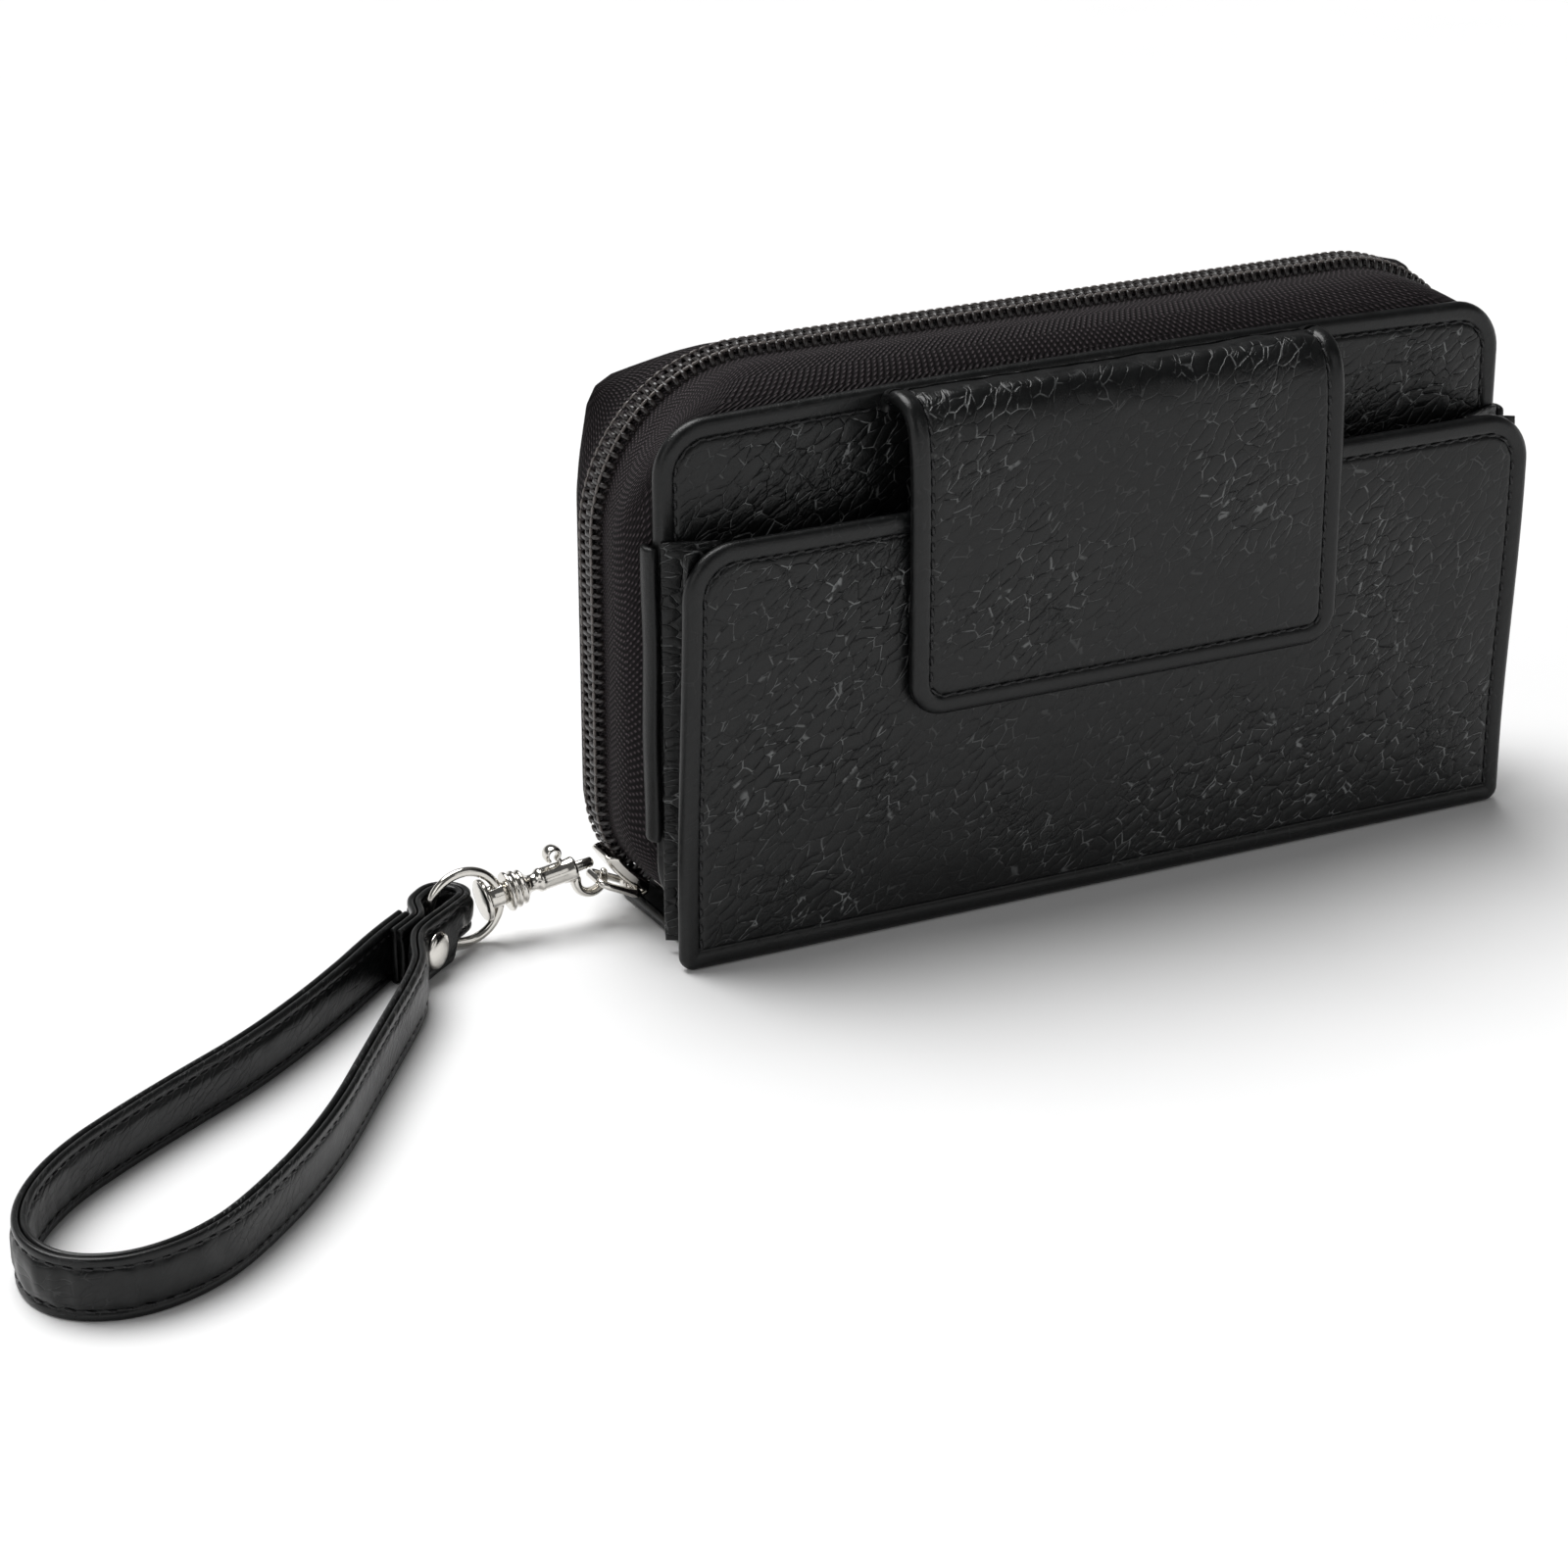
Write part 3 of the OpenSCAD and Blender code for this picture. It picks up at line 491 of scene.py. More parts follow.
def coilFinish(name, dark=(0.006, 0.0042, 0.004), light=(0.022, 0.0165, 0.0155)):
    # moulded nylon, a little brown, its gloss varying with the same mottle as its tone
    m = Finish(name)
    mottle = m.noise(m.place(), 1.1, 3)
    tone = m.mixColour(mottle, dark, light)
    gloss = m.spread(mottle, 0.24, 0.36)
    return m.finish(tone, gloss, m.noise(m.place(), 4, 2), 0.03, Specular_IOR_Level=0.6)


def nickelFinish(name, rough=0.09):
    # polished nickel plate with faint scratches
    m = Finish(name)
    scuffs = m.noise(m.place(stretch=(1, 1, 6)), 1.5, 5, 0.65)
    tone = m.mixColour(scuffs, (0.6, 0.575, 0.53), (0.77, 0.75, 0.71))
    return m.finish(tone, m.spread(scuffs, rough - 0.03, rough + 0.08), scuffs, 0.008, Metallic=1.0)


def boardFinish(name):
    # pressed fibre, its fibres drawn out along the board
    m = Finish(name)
    fibre = m.noise(m.place(stretch=(0.3, 1, 1)), 2.0, 5, 0.6)
    return m.finish(m.mixColour(fibre, (0.3, 0.26, 0.2), (0.42, 0.38, 0.3)), 0.85, fibre, 0.05)


pebbledLeather = leather("pebbledLeather")
flapLeather = leather("flapLeather", grain=0.8, rough=-0.03)
gussetLeather = leather("gussetLeather", grain=0.9, cell=0.8, axis=0, fade=False)
edgeLeather = smoothLeather("edgeLeather")
# the strap and the card pockets get weaker painted highlight dash marks
strapLeather = leather("strapLeather", grain=0.3, cell=0.7, rough=-0.02, paintedHighlight=0.5, fade=False)
pocketLeather = leather("pocketLeather", grain=0.45, cell=0.8, paintedHighlight=0.3)
thread = threadFinish("blackThread")
tapeCloth = tapeFinish("zipTapeCloth")
liningCloth = clothFinish("liningCloth")
coilNylon = coilFinish("coilNylon")
seamThread = coilFinish("coilSeamThread", (0.05, 0.043, 0.04), (0.16, 0.14, 0.13))
nickel = nickelFinish("nickel")
boardFibre = boardFinish("boardFibre")
print("finishes made")

# Leather panels with a rolled, stitched edge

arcSpans = 6


def panelSides(size, inset, spans):
    # the four sides of a rounded rectangle moved in by inset, each from the middle of one
    # corner's arc to the middle of the next, left to right or bottom to top
    x0, x1, z0, z1 = (
        size["x0"] + inset, size["x1"] - inset, size["z0"] + inset, size["z1"] - inset,
    )
    low, top = max(size["low"] - inset, 0.02), max(size["top"] - inset, 0.02)

    def arc(cx, cz, r, a, b):
        t = np.radians(np.linspace(a, b, arcSpans + 1))
        return np.stack([cx + r * np.cos(t), cz + r * np.sin(t)], -1)

    def side(first, last, count):
        t = np.linspace(0, 1, count + 1)[1:-1, None]
        straight = first[-1] * (1 - t) + last[0] * t
        return np.concatenate([first, straight, last])

    nx, nz = spans
    bottom = side(arc(x0 + low, z0 + low, low, 225, 270), arc(x1 - low, z0 + low, low, 270, 315), nx)
    right = side(arc(x1 - low, z0 + low, low, 315, 360), arc(x1 - top, z1 - top, top, 0, 45), nz)
    upper = side(arc(x0 + top, z1 - top, top, 135, 90), arc(x1 - top, z1 - top, top, 90, 45), nx)
    left = side(arc(x0 + low, z0 + low, low, 225, 180), arc(x0 + top, z1 - top, top, 180, 135), nz)
    return bottom, right, upper, left


def panelLoop(size, inset, spans):
    # the same outline as one closed loop, anticlockwise
    bottom, right, upper, left = panelSides(size, inset, spans)
    return np.concatenate([bottom[:-1], right[:-1], upper[:0:-1], left[:0:-1]])


def panelFill(size, inset, spans):
    # Coons patch: the sides blended across and up, less the blend of the four corners
    bottom, right, upper, left = panelSides(size, inset, spans)
    u = np.linspace(0, 1, len(bottom))[None, :, None]
    v = np.linspace(0, 1, len(left))[:, None, None]
    along = (1 - v) * bottom[None] + v * upper[None]
    up = (1 - u) * left[:, None] + u * right[:, None]
    corners = (
        (1 - u) * (1 - v) * bottom[0] + u * (1 - v) * bottom[-1]
        + (1 - u) * v * upper[0] + u * v * upper[-1]
    )
    return along + up - corners


def panelDepth(size, x, z):
    # distance of a point inside a panel from the nearest side
    return np.minimum.reduce([x - size["x0"], size["x1"] - x, z - size["z0"], size["z1"] - z])


def panelSurfaces(size, thick, detail, place, spans, faceInsets, backDetail=None):
    # a slab with a full round edge: rim rings by angle, face rings by inset, Coons middle;
    # detail(x, z, inset) lifts the face, and place() carries flat (x, height, z) to space
    roll = thick / 2
    angles = np.radians(np.linspace(0, 90, 7))
    surfaces = []
    for way, lift in ((1, detail), (-1, backDetail)):
        insets = np.concatenate([roll * (1 - np.cos(angles)), faceInsets])
        heights = np.concatenate([roll * np.sin(angles), np.full(len(faceInsets), roll)])
        rings = []
        for inset, height in zip(insets, heights):
            loop = panelLoop(size, inset, spans)
            x, z = loop[:, 0], loop[:, 1]
            extra = lift(x, z, np.full(len(x), inset)) if lift else 0
            rings.append(np.stack([x, way * (height + extra * (height / roll) ** 2) + 0 * x, z], -1))
        rings = np.array(rings)
        ringUv = np.stack(np.broadcast_arrays(insets[:, None] + 0 * rings[..., 0], 0 * rings[..., 0]), -1)
        middle = panelFill(size, insets[-1], spans)
        x, z = middle[..., 0].ravel(), middle[..., 1].ravel()
        depth = np.maximum(panelDepth(size, x, z), insets[-1])
        extra = lift(x, z, depth) if lift else 0
        middle = np.stack([x, way * (roll + extra + 0 * x), z], -1).reshape(*middle.shape[:2], 3)
        middleUv = np.stack([depth, 0 * depth], -1).reshape(*middle.shape[:2], 2)
        for part, closed, rimUv in ((rings, True, ringUv), (middle, False, middleUv)):
            shape = part.shape
            placed = place(part.reshape(-1, 3)).reshape(shape)
            surfaces.append(gridSurface(placed, closeCols=closed, uv=rimUv))
    return surfaces


def stitchedEdge(groove=3.4, roll=0.12, sink=0.42, puff=0.0):
    # face profile over the inset d: a soft roll at the rim, a groove at the stitches, a puff inside
    def detail(x, z, d):
        lift = roll * np.exp(-(((d - groove * 0.45) / (groove * 0.3)) ** 2))
        lift = lift - sink * np.exp(-(((d - groove) / 0.42) ** 2))
        return lift + puff * ramp(d, groove, groove + 9)

    return detail


edgeInsets = np.array([1.7, 2.2, 2.6, 2.9, 3.1, 3.25, 3.4, 3.55, 3.7, 3.95, 4.3, 4.9])

stitch = {"pitch": 2.75, "length": 2.05, "radius": 0.27, "lean": 7.0, "inset": 3.4, "sunk": 0.2}


def stitchSurfaces(path, place, height, pitch=None, radius=None, length=None):
    # short threads laid end to end along a flat path: a capsule whose ends dip into the leather
    pitch = pitch or stitch["pitch"]
    half = (length or stitch["length"]) / 2
    thickness = radius or stitch["radius"]
    run = runOf(path)
    count = int(run[-1] / pitch)
    at = (np.arange(count) + 0.5) * run[-1] / count
    centre = readAt(at, run, path)
    x, z = unit(readAt(at + 0.3, run, path) - readAt(at - 0.3, run, path)).T
    cos, sin = math.cos(math.radians(stitch["lean"])), math.sin(math.radians(stitch["lean"]))
    along = np.stack([x * cos - z * sin, x * sin + z * cos], -1)
    across = np.stack([-along[:, 1], along[:, 0]], -1)
    rings = 6
    t = np.linspace(-1, 1, rings)
    angle = np.linspace(0, 2 * math.pi, rings, endpoint=False)
    r = thickness * np.sqrt(np.maximum(1 - np.abs(t) ** 3, 0.02))
    forward = (t * half)[:, None] * np.ones(rings)
    sideways = r[:, None] * np.cos(angle)
    up = r[:, None] * np.sin(angle) - 0.3 * (t**4)[:, None]
    flat = (
        centre[:, None, None, :]
        + forward[None, ..., None] * along[:, None, None, :]
        + sideways[None, ..., None] * across[:, None, None, :]
    )
    points = np.concatenate(
        [flat[..., :1], np.broadcast_to(up + height, flat.shape[:3])[..., None], flat[..., 1:]], -1
    )
    placed = place(points.reshape(-1, 3)).reshape(count, rings * rings, 3)
    return repeated(placed, *tubeFaces(rings, rings))


def sidesAndTop(size, inset, spans, endLow):
    # open path up the left side, over the top and down the right, from height endLow
    bottom, right, upper, left = panelSides(size, inset, spans)
    left = left[left[:, 1] > endLow]
    right = right[right[:, 1] > endLow]
    start = np.array([[left[0, 0], endLow]])
    finish = np.array([[right[0, 0], endLow]])
    return np.concatenate([start, left, upper[1:-1], right[::-1], finish])


def facing(y, way=-1):
    # stands flat panel coordinates up: height goes towards -Y (way -1) or +Y (way 1)
    def place(points):
        return np.stack([points[:, 0], y + way * points[:, 1], points[:, 2]], -1)

    return place


def makeStitches(name, size, spans, place, thick, body, endLow):
    # a row of stitches up both sides and over the top of a panel, in the groove near its edge
    path = sidesAndTop(size, stitch["inset"], spans, endLow)
    surfaces = stitchSurfaces(path, place, thick / 2 - stitch["sunk"])
    makePiece(name, surfaces, thread, body, weld=None)


# front cover: its top edge bows up a little in the middle
cover = {
    "x0": coverLow[0] - 0.6, "x1": coverHigh[0] + 0.6, "z0": coverLow[2], "z1": coverHigh[2],
    "low": 13, "top": 9,
}
coverBow = 1.3
coverSpans = (84, 44)


def bowed(place, amount=coverBow, half=80.0, height=90.0):
    def carry(points):
        out = place(points)
        rise = amount * (1 - (out[:, 0] / half) ** 2) * ramp(out[:, 2], 0.3 * height, height)
        out[:, 2] += rise
        return out

    return carry


middleOfCover = (coverLow[1] + coverHigh[1]) / 2
coverPlace = bowed(facing(middleOfCover))
makePiece(
    "frontCoverLeather",
    panelSurfaces(cover, coverThick, stitchedEdge(puff=0.25), coverPlace, coverSpans, edgeInsets),
    pebbledLeather, "front_half", ("front_cover",),
)
makeStitches("frontCoverStitches", cover, coverSpans, coverPlace, coverThick, "front_half", 14)

# rear cover: softer corners, bowed outwards
rearCover = {
    "x0": rearLow[0] + 0.9, "x1": rearHigh[0] - 0.9, "z0": rearLow[2], "z1": rearHigh[2] + 0.2,
    "low": 13, "top": 8.5,
}
middleOfRear = (rearLow[1] + rearHigh[1]) / 2
rearPlace = bowed(facing(middleOfRear, 1), 0.6)
makePiece(
    "rearCoverLeather",
    panelSurfaces(rearCover, coverThick, stitchedEdge(puff=0.5), rearPlace, coverSpans, edgeInsets),
    pebbledLeather, "rear_half", ("rear_cover",),
)
makeStitches("rearCoverStitches", rearCover, coverSpans, rearPlace, coverThick, "rear_half", 14)

# outside pocket
pocket = {
    "x0": panelLow[0], "x1": panelHigh[0], "z0": 0.0, "z1": panelHigh[2], "low": 2.6, "top": 9,
}
pocketThick = 2.5
pocketSpans = (84, 38)
pocketPlaceFlat = facing(yPocket + pocketThick / 2)


def pocketPlace(points):
    # the panel's lower right corner pulls back a little and its right edge leans out
    out = pocketPlaceFlat(points)
    out[:, 0] += ramp(out[:, 0], 40, 80) * (1.6 * ramp(out[:, 2], 10, 60) - 0.2)
    out[:, 0] -= ramp(-out[:, 0], 40, 80) * (1.4 * (1 - ramp(out[:, 2], 10, 70)))
    return out


makePiece(
    "pocketPanelLeather",
    panelSurfaces(pocket, pocketThick, stitchedEdge(puff=0.35), pocketPlace, pocketSpans, edgeInsets),
    pebbledLeather, "front_half", ("pocket_panel", "pocket_lining"),
)
makeStitches("pocketPanelStitches", pocket, pocketSpans, pocketPlace, pocketThick, "front_half", 3.2)
print("panels made")

# Gussets of the outside pocket

gusset = {
    "foot": 2.6, "mouth": 70.5,  # the fold's lower and upper end
    "edge": 78.9, "deep": 6.2, "deeper": 1.6,  # how far the fold goes in, and the more at its mouth
    "low": 20.4, "high": 69.4, "outer": 82.5, "half": 1.35, "thick": 1.0, "hemThick": 1.5,
    "wave": 0.35,
}


def gussetSheet(low, high):
    # profile across: from the panel's edge in to a soft V and out to the cover's edge,
    # carried up the pocket, deeper towards the mouth
    u = np.linspace(0, 1, 29)
    v = np.linspace(low, high, 34)
    u, v = np.meshgrid(u, v)
    opened = ramp(v, low - 10, high)
    depth = (gusset["deep"] + gusset["deeper"] * opened) * np.sin(math.pi * u) ** 0.8
    x = -(gusset["edge"] - depth + 0.9 * u)
    y = yPocket + 2.2 + (yFront - yPocket - 2.6) * (u + 0.12 * np.sin(2 * math.pi * u))
    x = x + gusset["wave"] * np.sin(v * 0.33 + 5 * u) * np.sin(math.pi * u)
    return np.stack([x, y, v], -1)


def gussetFlange():
    # the gusset's hem, rolled over the cover's edge: a flat strip with a soft outer face
    u = np.linspace(-1, 1, 13)
    v = np.linspace(gusset["low"], gusset["high"], 30)
    u, v = np.meshgrid(u, v)
    x = -(gusset["outer"] - 0.7 - 0.5 * u**2) - 0.12 * np.sin(v * 0.21)
    y = yFront + 1.35 + gusset["half"] * u
    return np.stack([x, y, v], -1)


def flipped(sheet):
    out = sheet.copy()
    out[..., 0] *= -1
    return out[:, ::-1]


for sideName, turn in (("Left", lambda v: v), ("Right", flipped)):
    makePiece(
        f"pocketGusset{sideName}",
        thickSheet(turn(gussetSheet(gusset["foot"], gusset["mouth"])), gusset["thick"]),
        gussetLeather, "front_half", (f"pocket_gusset_{sideName.lower()}",),
    )
    makePiece(
        f"gussetHem{sideName}", thickSheet(turn(gussetFlange()), gusset["hemThick"]), edgeLeather,
        "front_half",
    )

# Flap

flap = {
    "half": 41.0,
    "thick": 2.4,
    "corner": 6.0,
    "join": 5.4,  # where the bridge's leather passes to the hanging part
    "spans": (66, 62),
    "sag": 0.35,
    "coarse": (6.0, 0.13),  # wavelength and height of the fold's creases
    "close": (2.9, 0.07),
    # outer face, forwards of the front cover and above the floor
    "profile": [(0.9, 87.6), (0.3, 89.4), (-0.9, 90.7), (-3.4, 91.25), (-6.4, 91.0), (-9.0, 89.8),
                (-10.9, 87.3), (-11.9, 83.5), (-12.3, 76), (-12.4, 62), (-12.35, 48), (-12.35, 37.8)],
}


def softened(points, times=3):
    # corner cutting: each span gives the points at a quarter and three quarters of it
    points = np.array(points, float)
    for _ in range(times):
        near = 0.75 * points[:-1] + 0.25 * points[1:]
        far = 0.25 * points[:-1] + 0.75 * points[1:]
        middle = np.stack([near, far], 1).reshape(-1, points.shape[1])
        points = np.concatenate([points[:1], middle, points[-1:]])
    return points


flapLine = softened(flap["profile"])
flapRun = runOf(flapLine)
flapLength = flapRun[-1]
flapSlope = unit(np.gradient(flapLine, axis=0))


def flapPlace(points):
    # x stays, z runs back from the lower edge along the profile, height is along its normal
    s = np.clip(flapLength - points[:, 2], 0, flapLength)
    extra = np.minimum(points[:, 2], 0)
    y = np.interp(s, flapRun, flapLine[:, 0])
    z = np.interp(s, flapRun, flapLine[:, 1]) + extra
    dy = np.interp(s, flapRun, flapSlope[:, 0])
    dz = np.interp(s, flapRun, flapSlope[:, 1])
    height = points[:, 1] - flap["thick"] / 2
    dip = 0.9 * ramp(s, 1, 4) * (1 - ramp(s, 6, 12)) * (1 - (points[:, 0] / flap["half"]) ** 4)
    return np.stack([points[:, 0], yFront + y + height * dz, z - height * dy - dip * 0.6], -1)


def flapDetail(x, z, d):
    # a firm rolled border, and creases where the leather turns over the fold
    s = flapLength - z
    where = np.stack([x, s * 1.6, 0 * x], -1)
    fold = np.exp(-(((s - 9) / 6.0) ** 2)) * ramp(d, 3.6, 6)
    (coarse, high), (close, low) = flap["coarse"], flap["close"]
    creases = ripples(where, 5, 14, coarse) * high + ripples(where, 8, 14, close) * low
    sag = -flap["sag"] * np.exp(-(((s - 22) / 9) ** 2)) * ramp(d, 4, 14)
    return stitchedEdge(puff=0.3)(x, z, d) + creases * fold + sag


flapSize = {
    "x0": -flap["half"], "x1": flap["half"], "z0": 0.0, "z1": flapLength - flap["join"],
    "low": flap["corner"], "top": 0.05,
}
rootSize = {**flapSize, "z0": flapSize["z1"], "z1": flapLength, "low": 0.05}


def openTop(detail):
    # fades the border's roll out where the flap's two parts meet
    def lifted(x, z, d):
        sides = np.minimum(x + flap["half"], flap["half"] - x)
        return detail(x, z, np.where(z > flapSize["z1"] - 6, sides, d))

    return lifted


def flatEndPanel(size, thick, detail, place, length):
    # a panel with round side edges and square ends: a profile across, carried along
    angle = np.radians(np.linspace(0, 90, 7))
    roll = thick / 2
    inset = np.concatenate([roll * (1 - np.cos(angle)), edgeInsets, np.linspace(5.6, flap["half"], 34)])
    height = np.concatenate([roll * np.sin(angle), np.full(len(edgeInsets) + 34, roll)])
    x = np.concatenate([size["x0"] + inset, (size["x1"] - inset)[-2::-1]])
    h = np.concatenate([height, height[-2::-1]])
    z = np.linspace(size["z0"], size["z1"], length)
    faces = []
    for way in (1, -1):
        gx, gz = np.meshgrid(x, z)
        gh = np.broadcast_to(h, gx.shape)
        side = np.minimum(gx - size["x0"], size["x1"] - gx)
        extra = detail(gx.ravel(), gz.ravel(), side.ravel()).reshape(gx.shape) if way > 0 else 0
        flat = np.stack([gx, way * (gh + extra * (gh / roll) ** 2), gz], -1)
        faces.append(flat)
    rimUv = np.stack([side, 0 * side], -1)
    surfaces = [gridSurface(place(f.reshape(-1, 3)).reshape(f.shape), uv=rimUv) for f in faces]
    for row in (0, -1):
        strip = np.stack([faces[0][row], faces[1][row]])
        surfaces.append(gridSurface(place(strip.reshape(-1, 3)).reshape(strip.shape)))
    return surfaces


flapPiece = makePiece(
    "flapLeather",
    panelSurfaces(flapSize, flap["thick"], openTop(flapDetail), flapPlace, flap["spans"], edgeInsets),
    flapLeather, None, ("flap_panel", "flap_lining"), hard=50,
)
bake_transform(flapPiece)
rootPiece = makePiece(
    "flapRootLeather",
    flatEndPanel(rootSize, flap["thick"], flapDetail, flapPlace, 12),
    flapLeather, None, ("flap_bridge",), hard=50,
)
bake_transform(rootPiece)


def flapStitchPath(top):
    # down the left side, along the lower edge and up the right
    inset = stitch["inset"]
    bottom, right, _, left = panelSides({**flapSize, "z1": flapLength}, inset, flap["spans"])
    left, right = left[left[:, 1] < top], right[right[:, 1] < top]
    ends = np.array([[-flap["half"] + inset, top], [flap["half"] - inset, top]])
    return np.concatenate([ends[:1], left[::-1], bottom[1:-1], right, ends[1:]])


flapThread = makePiece(
    "flapStitches",
    stitchSurfaces(flapStitchPath(flapSize["z1"] - 1), flapPlace, flap["thick"] / 2 - stitch["sunk"]),
    thread, None, weld=None,
)
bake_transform(flapThread)
print("flap made")

# Main zip

zipLook = {
    "pitch": 1.65,
    "wide": 2.95,  # from the middle of the chain to its edge
    "spansArc": 18,
    "bulge": 0.9,
    "tape": 0.8,
    "flatShare": 0.24,  # the share of the tape's width that stays under the teeth
    "rise": 1.42,  # how far a turn's middle stands over the tape
}


def ringPath(half, low, high, rLow, rTop, inset):
    # left side up from the lower corner, over the top and down the right, as fractions
    # that match between outlines of different size; gives points and outward directions
    n = zipLook["spansArc"]
    half, low, high = half - inset, low + inset, high - inset
    rLow, rTop = rLow - inset, rTop - inset

    def arc(cx, cz, r, a, b):
        t = np.radians(np.linspace(a, b, n + 1))
        way = np.stack([np.cos(t), np.sin(t)], -1)
        return np.array([cx, cz]) + r * way, way

    arcs = [
        arc(-half + rLow, low + rLow, rLow, 270, 180), arc(-half + rTop, high - rTop, rTop, 180, 90),
        arc(half - rTop, high - rTop, rTop, 90, 0), arc(half - rLow, low + rLow, rLow, 0, -90),
    ]
    points, ways = [], []
    for k, (p, w) in enumerate(arcs):
        points.append(p)
        ways.append(w)
        if k < 3:
            count = 2 * n if k != 1 else 4 * n
            t = np.linspace(0, 1, count + 1)[1:-1, None]
            points.append(p[-1] * (1 - t) + arcs[k + 1][0][0] * t)
            ways.append(np.broadcast_to(w[-1], (count - 1, 2)))
    return np.concatenate(points), np.concatenate(ways)


# half width, lowest and highest edge, radius of the lower and of the upper corners
chainOuter = (chainHalf, 2.4, chainTop, 20.0, 29.0)
coverLine = (80.1, 3.1, 89.6, 13.0, 9.0)
rearLine = (80.9, 3.1, 91.4, 13.0, 6.5)
chainPoints, chainWays = ringPath(*chainOuter, chainRise)
coverPoints, _ = ringPath(*coverLine, 0.7)
rearPoints, _ = ringPath(*rearLine, 0.7)
alongChain = runOf(chainPoints)


def straightness():
    # 1 along the straight sides of the outline, near 0 in the middle of its corners
    n = zipLook["spansArc"]
    hump = np.sin(np.linspace(0, math.pi, n + 1)) ** 1.2
    parts = []
    for k in range(4):
        parts.append(1 - 0.9 * hump)
        if k < 3:
            parts.append(np.ones((2 if k != 1 else 4) * n - 1))
    return np.concatenate(parts)


def tapeSheet(outline, yCover, yMouth):
    # across: f 0 at the chain's middle to 1 at the cover; the outline passes from the chain's
    # to the cover's, quickly near the cover so that the tape bellies out between
    f = np.concatenate([np.linspace(0, 0.2, 5), np.linspace(0.2, 1, 22)[1:]])
    flatShare = zipLook["flatShare"]
    y = yMouth + (yCover - yMouth) * f
    t = np.clip((f - flatShare) / (1 - flatShare), 0, 1)
    share = t**2.4
    belly = np.sin(math.pi * t**1.25) * zipLook["bulge"]
    straight = straightness()[:, None]
    low = 1 - ramp(chainPoints[:, 1], 6, 26)[:, None]
    points = (
        chainPoints[:, None, :] * (1 - share)[None, :, None]
        + outline[:, None, :] * share[None, :, None]
        + chainWays[:, None, :] * ((belly[None, :] * straight * (1 - 0.5 * low))[..., None])
    )
    sheet = np.stack(
        [points[..., 0], np.broadcast_to(y, points.shape[:2]), points[..., 1]], -1
    )
    across = np.abs(y - yMouth)
    uv = np.stack(np.broadcast_arrays(alongChain[:, None], across[None, :]), -1)
    return sheet, uv


yFrontInner, yRearInner = coverHigh[1], rearLow[1]
frontSheet, frontUv = tapeSheet(coverPoints, yFrontInner + 0.2, yChain - 0.5)
makePiece(
    "frontZipTape", thickSheet(frontSheet, zipLook["tape"], frontUv, 2), tapeCloth, "front_half",
    ("front_tape",),
)
rearSheet, rearUv = tapeSheet(rearPoints, yRearInner - 0.2, yChain + 0.5)
rearTape = makePiece(
    "rearZipTape", thickSheet(rearSheet, zipLook["tape"], rearUv, 2), tapeCloth, None,
    ("rear_tape", "rear_tape_end_left", "rear_tape_end_right"),
)
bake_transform(rearTape)


def toothBlock():
    # one coil turn: a bar across the chain with a swollen head near the middle and a bend
    # down to the tape at the outer edge; local axes are along, across (from edge inwards), up
    across = np.array([0.0, 0.05, 0.18, 0.45, 0.9, 1.6, 2.3, 2.8, 3.15, 3.4, 3.5])
    up = np.array([-1.3, -0.75, -0.3, 0.1, 0.3, 0.34, 0.34, 0.3, 0.12, -0.25, -0.75])
    thick = np.array([0.36, 0.44, 0.48, 0.48, 0.46, 0.45, 0.47, 0.55, 0.6, 0.55, 0.36])
    centre = np.stack([across, up], -1)
    tangent = unit(np.gradient(centre, axis=0))
    normal = np.stack([-tangent[:, 1], tangent[:, 0]], -1)
    angle = np.linspace(0, 2 * math.pi, 6, endpoint=False)
    side = thick[:, None] * np.cos(angle)
    lift = 0.62 * thick[:, None] * np.sin(angle)
    flat = centre[:, None, :] + lift[..., None] * normal[:, None, :]
    points = np.stack([side, flat[..., 0], flat[..., 1]], -1)
    return points.reshape(-1, 3), *tubeFaces(len(across), 6)


def onChain(start, last, local, y):
    # a small shape laid along the chain's outline every pitch: local axes as for a tooth
    at = np.arange(start, min(last, alongChain[-1]), zipLook["pitch"])
    centre = readAt(at, alongChain, chainPoints)[:, None, :]
    out = unit(readAt(at, alongChain, chainWays))
    along = np.stack([out[:, 1], -out[:, 0]], -1)[:, None, :]
    flat = centre + local[None, :, :1] * along + local[None, :, 2:] * out[:, None, :]
    return np.stack([flat[..., 0], np.broadcast_to(y, flat.shape[:2]), flat[..., 1]], -1)


def chainSurfaces(way, offset, first, last):
    # the coil's turns, each from the chain's edge on one side inwards
    points, quads, caps = toothBlock()
    y = yChain + way * (zipLook["wide"] - points[:, 1])
    return repeated(onChain(first + offset, last, points + [0, 0, zipLook["rise"]], y), quads, caps)


seamBead = {"across": 2.05, "up": 1.92, "radius": 0.27, "half": 0.85, "sides": 5}


def chainThreads(way, first, last):
    # the sewing threads that hold a coil to its tape: a small bead over each turn
    n = seamBead["sides"]
    t = np.linspace(-1, 1, n)
    angle = np.linspace(0, 2 * math.pi, n, endpoint=False)
    r = seamBead["radius"] * np.sqrt(np.maximum(1 - t**4, 0.03))[:, None]
    across, up = (r * np.cos(angle)).ravel(), (r * np.sin(angle)).ravel()
    local = np.stack([np.repeat(t * seamBead["half"], n), across, up + seamBead["up"]], -1)
    y = yChain + way * seamBead["across"] + across
    return repeated(onChain(first + zipLook["pitch"] / 2, last, local, y), *tubeFaces(n, n))


